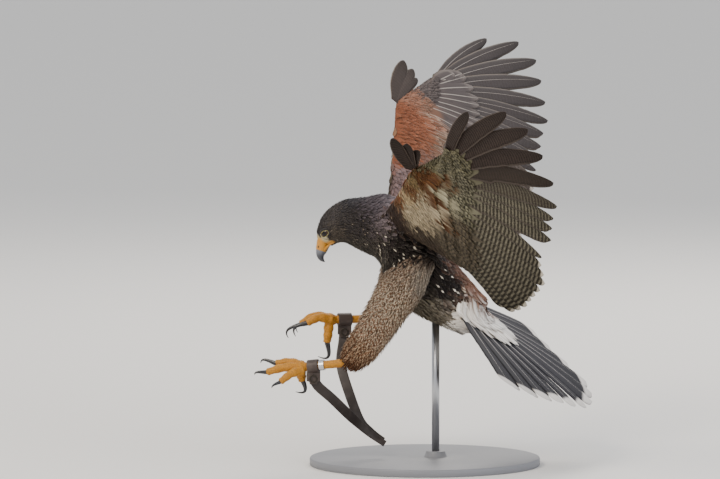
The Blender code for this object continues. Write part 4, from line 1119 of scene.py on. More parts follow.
def flight_piece(name, feathers, normal, mats, rng, nodes, mirror_from=None):
    """Long feathers as closed vanes; the first material is for the upper side, the second below."""
    middles, sides, ups, outer, inner, reaches = flight_vanes(feathers, normal, rng, mirror_from)
    count = len(feathers)
    shape = np.linspace(1, 0.5, FLIGHT_ROWS)[None] * sizes().vane_thickness
    points, across, at = vane_points(middles, sides, ups, outer, inner, np.repeat(shape, count, 0), 0.10,
                                     FLIGHT_COLUMNS)
    quads, tris, under, tris_under = vane_faces(count, FLIGHT_ROWS, FLIGHT_COLUMNS,
                                                2 * FLIGHT_COLUMNS - 2)
    quads, tris = outward_each(points, quads, tris, ups, count)
    per = len(points) // count
    ring = 2 * FLIGHT_COLUMNS - 2
    reach = np.repeat(reaches.reshape(-1), ring)
    tone = np.repeat(np.clip(rng.normal(1, 0.06, count), 0.85, 1.15), per)
    lengths = np.repeat([f["length"] for f in feathers], per)
    face_under = np.concatenate([under, tris_under])
    owner = np.concatenate([quads[:, 0], tris[:, 0]]) // per
    corner_points = np.concatenate([quads.ravel(), tris.ravel()])
    sizes_of = np.concatenate([np.full(len(quads), 4), np.full(len(tris), 3)])
    strip = np.repeat(owner * 2 + face_under, sizes_of)
    u = (strip + 0.06 + 0.88 * (across[corner_points] * 0.5 + 0.5)) / (2 * count)
    v = 0.01 + 0.98 * at[corner_points]
    vane = np.stack([across, at, reach, lengths - reach], 1)
    marks = np.stack([tone, np.repeat(np.arange(count) / count, per), np.zeros_like(tone)], 1)
    piece = make_piece(name, points, (quads, tris), mats, corner_uvs={"OFBake": np.stack([u, v], 1)},
                       attributes={"vane": vane, "marks": marks}, slots=face_under.astype(int))
    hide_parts(*nodes)
    return middles, sides, ups, inner


def outward_each(points, quads, tris, ups, count):
    """Turns the faces of each vane whose top side faces against its up direction."""
    quads = quads.copy()
    tris = tris.copy()
    per_quads = len(quads) // count
    per_tris = len(tris) // count
    for i in range(count):
        q = quads[i * per_quads + per_quads // 2 - (per_quads // 2) % (2 * FLIGHT_COLUMNS - 2)]
        a, b, c = points[q[:3]]
        if np.dot(np.cross(b - a, c - a), ups[i, 0]) < 0:
            part = slice(i * per_quads, (i + 1) * per_quads)
            quads[part] = quads[part][:, ::-1]
            part = slice(i * per_tris, (i + 1) * per_tris)
            tris[part] = tris[part][:, ::-1]
    return quads, tris


def shaft_piece(name, middles, ups, mats, radius, sides=6):
    """Round tapering shafts, half sunk in the vanes; the second material is for their underside."""
    parts = []
    uvs = []
    count = len(middles)
    for i in range(count):
        t = np.linspace(0, 1, len(middles[i]))
        radii = radius * (1 - 0.82 * t)
        rings = tube(middles[i] - ups[i] * radius * 0.2, radii, sides, up_hint=ups[i, 0])
        points, quads, tris = loft(rings)
        parts.append((points, quads, tris))
        ring_u = np.tile(np.arange(sides) / sides, len(t))
        along = np.repeat(t, sides)
        u = np.concatenate([ring_u, [0.5, 0.5]])
        uvs.append(np.stack([(i + 0.1 + 0.8 * u) / count, 0.01 + 0.98 * np.concatenate([along, [0, 1]])], 1))
    points, quads, tris = joined(parts)
    uv = np.vstack(uvs)
    corners = np.concatenate([quads.ravel(), tris.ravel()])
    per = len(quads) // count
    ring = np.arange(len(quads)) % per // sides
    owner = np.arange(len(quads)) // per
    away = points[quads].mean(1) - (middles[owner, ring] + middles[owner, ring + 1]) / 2
    below = ((away * ups[owner, ring]).sum(1) < 0).astype(int)
    slots = np.concatenate([below, np.zeros(len(tris), int)])
    piece = make_piece(name, points, (quads, tris), mats, corner_uvs={"OFBake": uv[corners]}, slots=slots)
    return piece


THUMB_HALF_WIDTHS = (13.0, 11.0, 8.0)


def thumb_feathers(side):
    """The three feathers of the thumb, spread in front of the wrist."""
    wing = WINGS[side]
    axes = WingFrame(side)
    s0, c0 = wing["thumb_base"]
    out = []
    for i, (s, c, n) in enumerate(wing["thumb_tips"]):
        start = axes.place(s0 + 5 * i, c0)
        tip = axes.place(s, c, n * MM)
        out.append({"base": start, "along": unit(tip - start), "length": np.linalg.norm(tip - start),
                    "cover": 5 * MM, "arch": 2 * MM, "half_width": THUMB_HALF_WIDTHS[i] * MM, "notch": 0.6,
                    "kind": "thumb", "number": i})
    return out


# Rows of coverts: where each starts and ends as shares of the cover, extra reach and half width in mm,
# how high its tips stand off, and its number of feathers for each long one
COVERT_ROWS = {
    "greater": (0.42, 1.0, 7.0, 10.5, 0.8, 1),
    "middle": (0.26, 0.74, 3.0, 7.5, 1.3, 2),
    "lesser": (0.14, 0.52, 2.0, 6.0, 1.8, 3),
    "least": (0.02, 0.32, 2.0, 5.0, 2.2, 3),
}
UNDER_COVERT_ROWS = {**COVERT_ROWS, "greater": (0.42, 0.88, 1.0, 10.5, 0.8, 1)}
LONG_HAND_START = 0.14
TAIL_COVERT_OVERHANG = 0.6
TAIL_COVERT_ROWS = {
    "greater": (0.45, 1.0, 4.0, 9.0, 0.5, 3),
    "middle": (0.30, 0.80, 2.0, 8.5, 1.0, 3),
    "lesser": (0.16, 0.60, 2.0, 8.0, 1.5, 3),
    "least": (0.05, 0.40, 2.0, 7.5, 2.0, 2),
}
COVERT_SAMPLES = np.linspace(0, 1, 9)
COVERT_SHAPE = np.array((0.55, 0.75, 0.92, 1.0, 1.0, 0.98, 0.88, 0.62, 0.2))


def surface_heights(surface, places, out):
    """How far a surface stands off places in the out direction, or nan where it isn't there."""
    found = np.full(len(places), np.nan)
    for i, p in enumerate(places):
        hit = surface.ray_cast(Vector(p + out * 0.08), Vector(-out), 0.16)
        if hit[0] is not None:
            found[i] = 0.08 - hit[3]
    return found


def covert_lines(feathers, out, surface, rows, rng, long_hand):
    """Middle lines, widths and lengths of rows of coverts that lie over a fan of long feathers.

    With long_hand the hand has its greater coverts only, at their full length.
    """
    middles, widths, lengths = [], [], []
    last_feather = len(feathers) - 1
    for row, (start, end, extra, half, stand, crowd) in rows.items():
        beyond = TAIL_COVERT_OVERHANG if feathers[0]["kind"] == "tail" else 0.0
        for spot in np.arange(-beyond, last_feather + beyond + 0.01, 1 / crowd):
            first_of_pair = int(np.clip(np.floor(spot), 0, last_feather - 1))
            a = feathers[first_of_pair]
            b = feathers[first_of_pair + 1]
            whole_hand = long_hand and a["kind"] == "primary"
            if whole_hand and row != "greater":
                continue
            share = spot - first_of_pair
            base = a["base"] * (1 - share) + b["base"] * share
            along = unit(a["along"] * (1 - share) + b["along"] * share)
            cover = a["cover"] * (1 - share) + b["cover"] * share
            along = unit(along + unit(np.cross(out, along)) * rng.normal(0, 0.05))
            first = cover * (LONG_HAND_START if whole_hand else start * rng.uniform(0.8, 1.1))
            last = cover * end * (1.0 if whole_hand else rng.uniform(0.92, 1.04)) + extra * MM
            line = base + along * (first + (last - first) * COVERT_SAMPLES)[:, None]
            heights = surface_heights(surface, line, out)
            known = ~np.isnan(heights)
            if a["kind"] == "tail":
                arch = a["arch"] * (1 if out @ (0, 0, 1) > 0 else -1)
                heights = np.where(known, heights, arch)
            elif known.sum() < 5:
                continue
            else:
                heights = np.interp(COVERT_SAMPLES, COVERT_SAMPLES[known], heights[known])
            for _ in range(4):
                wide = np.concatenate([heights[:1], heights, heights[-1:]])
                heights = wide[:-2] * 0.25 + wide[1:-1] * 0.5 + wide[2:] * 0.25
            lift = (-1.2 * (1 - COVERT_SAMPLES) + stand * rng.uniform(0.7, 1.3) * COVERT_SAMPLES) * MM
            middles.append(line + out * (heights + lift)[:, None])
            widths.append((half + (2.5 if whole_hand else 0.0)) * MM * COVERT_SHAPE * rng.uniform(0.9, 1.1))
            lengths.append(last - first)
    return np.array(middles), np.array(widths), np.array(lengths)


def covert_piece(name, feathers, out, nodes, rows, values_at, mat, rng, long_hand=False):
    """The ordered rows of coverts on one face of a wing or of the tail."""
    points, tris, _ = node_mesh(nodes)
    middles, widths, lengths = covert_lines(feathers, out, bvh_of(points, tris), rows, rng,
                                            long_hand)
    count = len(middles)
    ups = np.broadcast_to(out, middles.shape)
    along = np.gradient(middles, axis=1)
    sides = unit(np.cross(ups, along))
    lifted = unit(np.cross(along, sides))
    thickness = np.full(widths.shape, 0.4 * MM)
    points, across, at = vane_points(middles, sides, lifted, widths, widths, thickness, 0.10, 5)
    quads, tris, _, _ = vane_faces(count, len(COVERT_SAMPLES), 5, 8)
    quads, tris = outward(points, quads, tris, lifted[0, 4], 32)
    blurred = middles + rng.normal(0, COLOUR_SCATTER * MM, (count, 1, 3))
    per = len(points) // count
    values = np.repeat(values_at(blurred.reshape(-1, 3)), per // len(COVERT_SAMPLES), 0)
    tone = np.repeat(np.clip(rng.normal(1.0, 0.10, count), 0.75, 1.25), per)[:, None]
    ground = values[:, :3] * tone
    edge = values[:, 3:6] * tone
    shares = values[:, 6:9]
    vane_rim = np.clip(shares[:, 0] * 1.3, 0, 1)
    shares[:, 0] = 1.0 if long_hand else 0.0
    uv, _ = bake_map(middles[:, 0], ups[:, 0], (middles[:, 0].min(0), middles[:, 0].max(0)), CUBE_SIDES)
    uv = np.repeat(uv, per, 0) + np.stack([across, at - 0.5], 1) * TUFT_PATCH / 2
    corners = np.concatenate([quads.ravel(), tris.ravel()])
    vane = np.stack([across, at, np.repeat(lengths, per) * at, vane_rim], 1)
    piece = make_piece(name, points, (quads, tris), [mat], corner_uvs={"OFBake": uv[corners]},
                       attributes={"ground": ground, "edge": edge, "vane": vane, "marks": shares})
    return piece


def wing_coverts(side, face, mat, rng):
    axes = WingFrame(side)
    out = axes.normal if face == "upper" else -axes.normal
    nodes = [n + side for n in ("wing_hand_", "wing_arm_", "primaries_", "secondaries_")]
    zones = UPPER_WING_ZONES if face == "upper" else UNDER_WING_ZONES

    def values_at(points):
        return zone_values(axes.flat(points), zones)

    rows = COVERT_ROWS if face == "upper" else UNDER_COVERT_ROWS
    covert_piece("coverts_" + face + "_" + side, wing_feathers(side), out, nodes, rows, values_at,
                 mat, rng, long_hand=face == "upper")


def tail_coverts(mat, rng):
    feathers, normal = tail_feathers()
    for face, out in (("upper", normal), ("under", -normal)):

        def values_at(points):
            return zone_values(np.asarray(points) / MM, TAIL_COVERT_ZONES)

        covert_piece("coverts_tail_" + face, feathers, out, ("tail_coverts", "rump", "tail"),
                     TAIL_COVERT_ROWS, values_at, mat, rng)


def add_node(tree, kind, inputs=None, **settings):
    """A shader node with settings, and inputs by name or number: a socket is linked, else a value."""
    made = tree.nodes.new(kind)
    for key, value in settings.items():
        setattr(made, key, value)
    for key, value in (inputs or {}).items():
        if isinstance(value, bpy.types.NodeSocket):
            tree.links.new(value, made.inputs[key])
        else:
            made.inputs[key].default_value = value
    return made


def maths(tree, operation, a, b=0.0, clamp=False):
    return add_node(tree, "ShaderNodeMath", {0: a, 1: b}, operation=operation, use_clamp=clamp).outputs[0]


def stepped(tree, value, low, high):
    """0 below low, 1 above high, smooth between."""
    made = add_node(tree, "ShaderNodeMapRange", {"Value": value, "From Min": low, "From Max": high},
                    interpolation_type="SMOOTHSTEP")
    return made.outputs[0]


def rgba(colour):
    return (*colour, 1.0) if len(colour) == 3 else tuple(colour)


def blended(tree, share, a, b, mode="MIX"):
    """Colour a where share is 0 and b where it is 1."""
    made = add_node(tree, "ShaderNodeMix", {0: share}, data_type="RGBA", blend_type=mode)
    for key, value in ((6, a), (7, b)):
        if isinstance(value, bpy.types.NodeSocket):
            tree.links.new(value, made.inputs[key])
        else:
            made.inputs[key].default_value = rgba(value)
    return made.outputs[2]


def new_material(name, colour, roughness, **settings):
    """A Principled material; settings name further sockets. Returns it with its tree and shader."""
    mat = bpy.data.materials.new(name)
    mat.use_nodes = True
    tree = mat.node_tree
    shader = tree.nodes["Principled BSDF"]
    shader.inputs["Base Color"].default_value = rgba(colour)
    shader.inputs["Roughness"].default_value = roughness
    for key, value in settings.items():
        shader.inputs[key.replace("_", " ")].default_value = value
    mat.diffuse_color = rgba(colour)
    return mat, tree, shader


def attribute(tree, name):
    return add_node(tree, "ShaderNodeAttribute", attribute_name=name, attribute_type="GEOMETRY")


def vane_parts(tree):
    """How far across a vane, how far along it, its reach and its fourth value."""
    source = attribute(tree, "vane")
    split = add_node(tree, "ShaderNodeSeparateXYZ", {0: source.outputs["Vector"]})
    return split.outputs[0], split.outputs[1], split.outputs[2], source.outputs["Alpha"]


def barb_bump(tree, shader, across, reach, strength):
    """Fine slanting barbs; real ones are about 0.3 mm apart and are drawn at 1.2 mm to show."""
    slant = maths(tree, "MULTIPLY", maths(tree, "ABSOLUTE", across), 0.012)
    phase = maths(tree, "MULTIPLY", maths(tree, "SUBTRACT", reach, slant), 2 * math.pi / 0.0012)
    wave = maths(tree, "SINE", phase)
    bump = add_node(tree, "ShaderNodeBump", {"Strength": strength, "Distance": 0.0003, "Height": wave})
    tree.links.new(bump.outputs[0], shader.inputs["Normal"])


def plumage_material(name, barbs=0.25):
    """Soft contour feathers: matt, with a paler edge, spots and bars where the zone has them."""
    mat, tree, shader = new_material(name, (0.2, 0.2, 0.2), 0.7, Specular_IOR_Level=0.08)
    across, along, reach, amount = vane_parts(tree)
    marks = add_node(tree, "ShaderNodeSeparateXYZ", {0: attribute(tree, "marks").outputs["Vector"]})
    far = maths(tree, "ABSOLUTE", across)
    noise = add_node(tree, "ShaderNodeTexNoise", {"Scale": 420.0, "Detail": 2.0})
    rough = maths(tree, "MULTIPLY", maths(tree, "SUBTRACT", noise.outputs["Fac"], 0.5), 0.5)
    at_edge = stepped(tree, maths(tree, "ADD", far, rough), 0.55, 0.95)
    at_tip = stepped(tree, maths(tree, "ADD", along, maths(tree, "MULTIPLY", rough, 0.5)), 0.80, 0.96)
    rim = maths(tree, "MULTIPLY", maths(tree, "MAXIMUM", at_edge, at_tip), amount)
    spot_away = maths(tree, "ADD", maths(tree, "MULTIPLY", far, 1.7),
                      maths(tree, "MULTIPLY", maths(tree, "ABSOLUTE", maths(tree, "SUBTRACT", along, 0.78)),
                            3.2))
    spot = maths(tree, "MULTIPLY", maths(tree, "SUBTRACT", 1.0, stepped(tree, spot_away, 0.6, 1.1)),
                 marks.outputs[1])
    wave = maths(tree, "SINE", maths(tree, "MULTIPLY", maths(tree, "ADD", reach, maths(
        tree, "MULTIPLY", far, -0.0015)), 2 * math.pi / 0.0062))
    bar = maths(tree, "MULTIPLY", stepped(tree, maths(tree, "ADD", wave, rough), 0.0, 0.5), marks.outputs[2])
    share = maths(tree, "ADD", maths(tree, "ADD", rim, spot), bar, clamp=True)
    colour = blended(tree, share, attribute(tree, "ground").outputs["Color"],
                     attribute(tree, "edge").outputs["Color"])
    near = maths(tree, "SUBTRACT", 1.0, stepped(tree, far, 0.05, 0.3))
    colour = blended(tree, maths(tree, "MULTIPLY", near, 0.18), colour, (0.0, 0.0, 0.0))
    line = maths(tree, "SUBTRACT", 1.0, stepped(tree, far, 0.03, 0.09))
    quill = maths(tree, "MULTIPLY", maths(tree, "MULTIPLY", line, marks.outputs[0]), 0.4)
    colour = blended(tree, quill, colour, linear("#d8cec2"))
    tree.links.new(colour, shader.inputs["Base Color"])
    barb_bump(tree, shader, across, reach, barbs)
    return mat


def skin_material():
    """Skin and down under the coat: the coat's own colours, darker and quite matt."""
    mat, tree, shader = new_material("down_and_skin", (0.1, 0.1, 0.1), 0.8, Specular_IOR_Level=0.2)
    tree.links.new(attribute(tree, "ground").outputs["Color"], shader.inputs["Base Color"])
    noise = add_node(tree, "ShaderNodeTexNoise", {"Scale": 900.0, "Detail": 3.0})
    bump = add_node(tree, "ShaderNodeBump", {"Strength": 0.3, "Distance": 0.0003,
                                             "Height": noise.outputs["Fac"]})
    tree.links.new(bump.outputs[0], shader.inputs["Normal"])
    return mat


def flight_material(name, ground, edge, bar, bar_share, rim, tip_band, tip_colour, roughness=0.6,
                    inward=None):
    """A flight feather's vane: silky, with bars across it, a paler rim and an end band.

    Bar_share is how strongly the bars show, rim how strongly the pale rim does, and tip_band
    the depth of the end band in metres. Inward is the ground and bar colour that the inner
    feathers of the fan turn to.
    """
    mat, tree, shader = new_material(name, ground, roughness, Specular_IOR_Level=0.04)
    across, along, reach, rest = vane_parts(tree)
    tone = add_node(tree, "ShaderNodeSeparateXYZ", {0: attribute(tree, "marks").outputs["Vector"]})
    far = maths(tree, "ABSOLUTE", across)
    noise = add_node(tree, "ShaderNodeTexNoise", {"Scale": 160.0, "Detail": 3.0})
    uneven = maths(tree, "SUBTRACT", noise.outputs["Fac"], 0.5)
    bent = maths(tree, "ADD", reach, maths(tree, "MULTIPLY", far, 0.0026))
    bent = maths(tree, "ADD", bent, maths(tree, "MULTIPLY", uneven, 0.0075))
    wave = maths(tree, "SINE", maths(tree, "MULTIPLY", bent, 2 * math.pi / sizes().bar_spacing))
    pattern = stepped(tree, wave, -0.65, 0.15)
    bars = maths(tree, "MULTIPLY", pattern, bar_share)
    colour = blended(tree, bars, ground, bar)
    if inward:
        inner = blended(tree, maths(tree, "MULTIPLY", pattern, 0.85), *inward)
        colour = blended(tree, stepped(tree, tone.outputs[1], 0.35, 0.62), colour, inner)
    mottle = maths(tree, "MULTIPLY", stepped(tree, uneven, -0.2, 0.2), 0.25)
    colour = blended(tree, mottle, colour, (0.0, 0.0, 0.0))
    at_rim = maths(tree, "MULTIPLY", stepped(tree, far, 0.80, 0.94), rim)
    colour = blended(tree, at_rim, colour, edge)
    if tip_band > 0:
        wavy = maths(tree, "ADD", rest, maths(tree, "MULTIPLY", uneven, 0.006))
        at_tip = maths(tree, "SUBTRACT", 1.0, stepped(tree, wavy, tip_band * 0.8, tip_band * 1.15))
        colour = blended(tree, at_tip, colour, tip_colour)
    shade = maths(tree, "SUBTRACT", 1.0, maths(tree, "MULTIPLY", stepped(tree, along, 0.45, 1.0), 0.3))
    colour = blended(tree, 1.0, colour, maths(tree, "MULTIPLY", tone.outputs[0], shade), "MULTIPLY")
    tree.links.new(colour, shader.inputs["Base Color"])
    barb_bump(tree, shader, across, reach, 0.18)
    return mat

BILL_SIDES = 28


def bill_rings(rows, spans=5, grow=0.0):
    """Rings of the bill in metres, from rows of middle, half height, half width and turn."""
    flat = [(c[0], c[1], h, w, tilt) for c, h, w, tilt in rows]
    out = []
    turn = 2 * np.pi * np.arange(BILL_SIDES) / BILL_SIDES
    for x, z, height, width, tilt in curve_through(flat, spans):
        angle = math.radians(tilt)
        up = np.array((math.sin(angle), 0, math.cos(angle)))
        across = np.array((0.0, 1.0, 0.0))
        ring = (np.array((x, 0, z)) + up * ((height + grow) * np.cos(turn))[:, None]
                + across * ((width + grow) * np.sin(turn))[:, None])
        out.append(ring * MM)
    return np.array(out)


def solid(name, rings, mat, node=None, smooth=True):
    points, quads, tris = loft(rings)
    piece = make_piece(name, points, (quads, tris), [mat], smooth)
    if node:
        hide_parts(node)
    return piece


def ball_rings(centre, radii, axes=np.eye(3), rings=20, sides=32):
    """Rings of an ellipsoid; axes are the rows of its own frame, the third through its poles."""
    out = []
    turn = 2 * np.pi * np.arange(sides) / sides
    for lat in np.linspace(0.02, math.pi - 0.02, rings):
        flat = (axes[0] * (radii[0] * math.sin(lat) * np.cos(turn))[:, None]
                + axes[1] * (radii[1] * math.sin(lat) * np.sin(turn))[:, None])
        out.append(np.asarray(centre) + flat + axes[2] * (radii[2] * math.cos(lat)))
    return np.array(out)


def bare_skin_material(name, colour, dark, scale_mm, depth, roughness=0.45):
    """Waxy bare skin with fine raised scales that small cells stand for."""
    mat, tree, shader = new_material(name, colour, roughness, Specular_IOR_Level=0.5,
                                     Subsurface_Weight=0.04, Subsurface_Scale=0.004)
    cells = add_node(tree, "ShaderNodeTexVoronoi", {"Scale": 1 / (scale_mm * MM)})
    place = add_node(tree, "ShaderNodeTexCoord")
    tree.links.new(place.outputs["Object"], cells.inputs["Vector"])
    seams = stepped(tree, cells.outputs["Distance"], 0.35, 0.75)
    colour_out = blended(tree, maths(tree, "MULTIPLY", seams, 0.55), colour, dark)
    soft = add_node(tree, "ShaderNodeTexNoise", {"Scale": 120.0, "Detail": 2.0})
    tree.links.new(place.outputs["Object"], soft.inputs["Vector"])
    patchy = maths(tree, "MULTIPLY", stepped(tree, soft.outputs["Fac"], 0.45, 0.75), 0.3)
    colour_out = blended(tree, patchy, colour_out, dark)
    tree.links.new(colour_out, shader.inputs["Base Color"])
    bump = add_node(tree, "ShaderNodeBump", {"Strength": 0.7, "Distance": depth * MM,
                                             "Height": maths(tree, "SUBTRACT", 1.0, seams)})
    tree.links.new(bump.outputs[0], shader.inputs["Normal"])
    return mat


def horn_material(name, colour, pale, pale_from, pale_to):
    """Polished horn, black with a paler grey root; pale_from and pale_to are heights in metres."""
    mat, tree, shader = new_material(name, colour, 0.28, Specular_IOR_Level=0.5, Coat_Weight=0.25,
                                     Coat_Roughness=0.2)
    place = add_node(tree, "ShaderNodeTexCoord")
    split = add_node(tree, "ShaderNodeSeparateXYZ", {0: place.outputs["Object"]})
    share = maths(tree, "MULTIPLY", stepped(tree, split.outputs[2], pale_from, pale_to), 0.8)
    tree.links.new(blended(tree, share, colour, pale), shader.inputs["Base Color"])
    noise = add_node(tree, "ShaderNodeTexNoise", {"Scale": 300.0, "Detail": 3.0})
    tree.links.new(place.outputs["Object"], noise.inputs["Vector"])
    bump = add_node(tree, "ShaderNodeBump", {"Strength": 0.15, "Distance": 0.0002,
                                             "Height": noise.outputs["Fac"]})
    tree.links.new(bump.outputs[0], shader.inputs["Normal"])
    return mat


def make_bill():
    """Cere with its nostrils, hooked upper bill and lower bill."""
    horn = horn_material("bill_horn", colours().horn, linear("#70737c"), 0.271, 0.281)
    # The cere colour is partly painted shade: its own orange, made darker for the shade over the face
    cere = bare_skin_material("cere_skin", colours().cere, linear("#c07a1f"), 1.1, 0.12, 0.4)
    solid("cere_dome", bill_rings(CERE, grow=0.1), cere, "cere")
    solid("upper_bill", bill_rings(UPPER_BILL), horn, "bill_upper")
    lower = horn_material("lower_horn", colours().horn, linear("#9a7034"), 0.2775, 0.2815)
    solid("lower_bill", bill_rings(LOWER_BILL), lower, "bill_lower")
    # Painted shade: each nostril is a dark ellipsoid whose cap shows through the cere, standing for the shade
    # inside the opening
    dark, _, _ = new_material("nostril_painted_shade", linear("#241a12"), 0.7)
    rim = []
    for sign in (-1, 1):
        x, z = NOSTRIL
        rings = ball_rings((x * MM, sign * 6.0 * MM, z * MM), (1.8 * MM, 1.1 * MM, 2.2 * MM), rings=10,
                           sides=16)
        rim.append(loft(rings))
    points, quads, tris = joined(rim)
    nostrils = make_piece("nostrils", points, (quads, tris), [dark])


def make_mouth(cere):
    """The soft yellow rim that runs back from the bill under the eye."""
    parts = []
    for sign in (-1, 1):
        path = curve_through([(x, sign * y, z) for x, y, z in GAPE], 6) * MM
        t = np.linspace(0, 1, len(path))
        radii = 1.5 * MM * (0.45 + 0.55 * np.sin(math.pi * np.clip(t * 1.1, 0, 1)))
        parts.append(loft(tube(path, radii, 10)))
    points, quads, tris = joined(parts)
    make_piece("mouth_rims", points, (quads, tris), [cere])


GAPE = ((-131.8, 5.6, 279.0), (-128.6, 6.9, 284.0), (-123.6, 8.2, 288.7), (-118.5, 9.8, 292.3))
EYE_GAZE = (-0.42, 0.88, -0.10)
LID_HEIGHT = 3.7
LID_LENGTH = 5.7
LID_ROLL = 24.0
LID_EDGE = 80.0
HEAD_FORWARD = (-0.53, 0.0, -0.85)
LORE_FACING = 0.35
LID_FEATHER_ROWS = ((0.02, 0.5), (0.25, 0.8), (0.5, 1.15))
LID_FEATHER_LIFT = 0.45
LID_FEATHER_HALF_WIDTH = 0.75
IRIS_ANGLE = 44.0
PUPIL_ANGLE = 22.0


def eye_frame(sign):
    gaze = unit((EYE_GAZE[0], sign * EYE_GAZE[1], EYE_GAZE[2]))
    roll = math.radians(LID_ROLL)
    head_up = np.array((-0.85, 0.0, 0.53)) * math.cos(roll) + np.array((0.53, 0.0, 0.85)) * math.sin(roll)
    up = unit(head_up - gaze * (gaze @ head_up))
    return gaze, up, unit(np.cross(up, gaze))


def lid_feathers(middles, ups):
    """The smallest feathers of the coat, which ring each eye and point away from it."""
    rng = np.random.default_rng(SEED + 5)
    count = len(middles)
    rise = rng.uniform(-0.1, 0.25, (count, 1, 1)) * MM + 0.35 * MM * TUFT_ROWS[None, :, None]
    middles = middles + ups * rise
    along = np.gradient(middles, axis=1)
    sides = unit(np.cross(ups, along))
    widths = LID_FEATHER_HALF_WIDTH * MM * (POINTED_TIP + ROUND_TIP)[None] / 2 * rng.uniform(0.85, 1.2, (count, 1))
    points, across, at = vane_points(middles, sides, unit(np.cross(along, sides)), widths, widths, None,
                                     TUFT_CAMBER * 2, TUFT_COLUMNS)
    quads, tris, _, _ = vane_faces(count, len(TUFT_ROWS), TUFT_COLUMNS, TUFT_COLUMNS)
    quads, tris = outward(points, quads, tris, ups[0, 2], 2 * TUFT_COLUMNS)
    per = len(points) // count
    tone = np.repeat(rng.uniform(0.8, 1.25, (count, 1)), per, 0)
    ground = np.array(linear("#393534")) * tone
    edge = np.array(linear("#6f675e")) * tone
    uv, _ = bake_map(middles[:, 0], ups[:, 0], (middles[:, 0].min(0), middles[:, 0].max(0)), CUBE_SIDES)
    uv = np.repeat(uv, per, 0) + np.stack([across, at - 0.5], 1) * TUFT_PATCH / 2
    corners = np.concatenate([quads.ravel(), tris.ravel()])
    vane = np.stack([across, at, at * MM, np.full(len(at), 0.4)], 1)
    piece = make_piece("coat_eyes", points, (quads, tris), [bpy.data.materials["dark_plumage"]],
                       corner_uvs={"OFBake": uv[corners]},
                       attributes={"ground": ground, "edge": edge, "vane": vane,
                                   "marks": np.zeros((len(points), 3))})


def make_eyes():
    """Glossy dark brown eyes in pale lids, with a ridge of brow over each."""
    iris, _, _ = new_material("eye_iris", linear("#2c190e"), 0.06, Specular_IOR_Level=0.35)
    pupil, _, _ = new_material("eye_pupil", linear("#040404"), 0.06, Specular_IOR_Level=0.35)
    white, _, _ = new_material("eye_side", linear("#140e0b"), 0.12, Specular_IOR_Level=0.35)
    lid = bare_skin_material("eyelid_skin", linear("#a59c5e"), linear("#777245"), 0.8, 0.08)
    brow, _, _ = new_material("brow_skin", linear("#2b2726"), 0.7)
    lore, _, _ = new_material("lore_skin", linear("#a0977a"), 0.6)
    lids = []
    skirts = []
    skirt_slots = []
    rows = []
    for side, sign in (("left", -1), ("right", 1)):
        x, y, z = EYE_CENTRE
        centre = np.array((x, sign * y, z)) * MM
        gaze, up, across = eye_frame(sign)
        lats = 36
        rings = ball_rings(centre, (EYE_RADIUS * MM,) * 3, np.array((across, up, gaze)), lats, 48)
        points, quads, tris = loft(rings)
        middle = points[quads].mean(1)
        angle = np.degrees(np.arccos(np.clip(unit(middle - centre) @ gaze, -1, 1)))
        slot = np.where(angle < PUPIL_ANGLE, 1, np.where(angle < IRIS_ANGLE, 0, 2))
        cap = unit(points[tris].mean(1) - centre) @ gaze
        slot = np.concatenate([slot, np.where(cap > 0, 1, 2)])
        ball = make_piece("eyeball_" + side, points, (quads, tris), [iris, pupil, white], slots=slot)
        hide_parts("eye_" + side)
        turn = np.linspace(0, 2 * math.pi, 49)[:-1]
        flat = (up * (LID_HEIGHT * np.cos(turn))[:, None] + across * (LID_LENGTH * np.sin(turn))[:, None])
        reach = np.sqrt(EYE_RADIUS ** 2 - (flat ** 2).sum(1))[:, None]
        opening = unit(flat + gaze * reach)
        edge_angle = math.radians(LID_EDGE)
        edge = unit(flat) * math.sin(edge_angle) + gaze * math.cos(edge_angle)
        rim_path = centre + np.vstack([opening, opening[:1]]) * (EYE_RADIUS + 0.25) * MM
        lids.append(loft(tube(rim_path, np.full(49, 0.32 * MM), 8, up_hint=gaze)))
        skirt = []
        for share, lift in ((0.0, 0.0), (0.0, 0.45), (0.35, 0.6), (0.7, 0.5), (1.0, 0.2), (1.0, -0.4)):
            way = unit(opening * (1 - share) + edge * share)
            skirt.append(centre + way * (EYE_RADIUS + lift) * MM)
        skirts.append(closed_loft(np.array(skirt)))
        points, quads, tris = skirts[-1]
        bare = (unit(points[quads].mean(1) - centre) @ HEAD_FORWARD) > LORE_FACING
        skirt_slots += [bare.astype(int), np.zeros(len(tris), int)]
        feathered = unit(flat) @ HEAD_FORWARD < LORE_FACING + 0.1
        for start, end in LID_FEATHER_ROWS:
            share = (start + (end - start) * TUFT_ROWS)[None, :, None]
            way = unit(opening[:, None] * (1 - share) + edge[:, None] * share)[feathered]
            rows.append((centre + way * (EYE_RADIUS + LID_FEATHER_LIFT) * MM, way))
        arc = np.linspace(-1.0, 1.0, 17)
        brow_way = unit(up * (5.6 * np.cos(arc))[:, None] + across * (7.4 * np.sin(arc))[:, None]
                        + gaze * 5.2)
        brow_path = centre + brow_way * (EYE_RADIUS + 0.7) * MM
        radii = 1.0 * MM * np.sqrt(np.clip(1 - (arc / 1.1) ** 2, 0.05, 1))
        skirts.append(loft(tube(brow_path, radii, 10, up_hint=gaze)))
        skirt_slots += [np.zeros(len(skirts[-1][1]), int), np.zeros(len(skirts[-1][2]), int)]
    lid_feathers(np.vstack([r[0] for r in rows]), np.vstack([r[1] for r in rows]))
    points, quads, tris = joined(lids)
    make_piece("eyelids", points, (quads, tris), [lid])
    points, quads, tris = joined(skirts)
    slots = np.concatenate(skirt_slots[0::2] + skirt_slots[1::2])
    make_piece("brows", points, (quads, tris), [brow, lore], slots=slots)


def toe_run(points):
    return unit(points[-1] - points[-2])


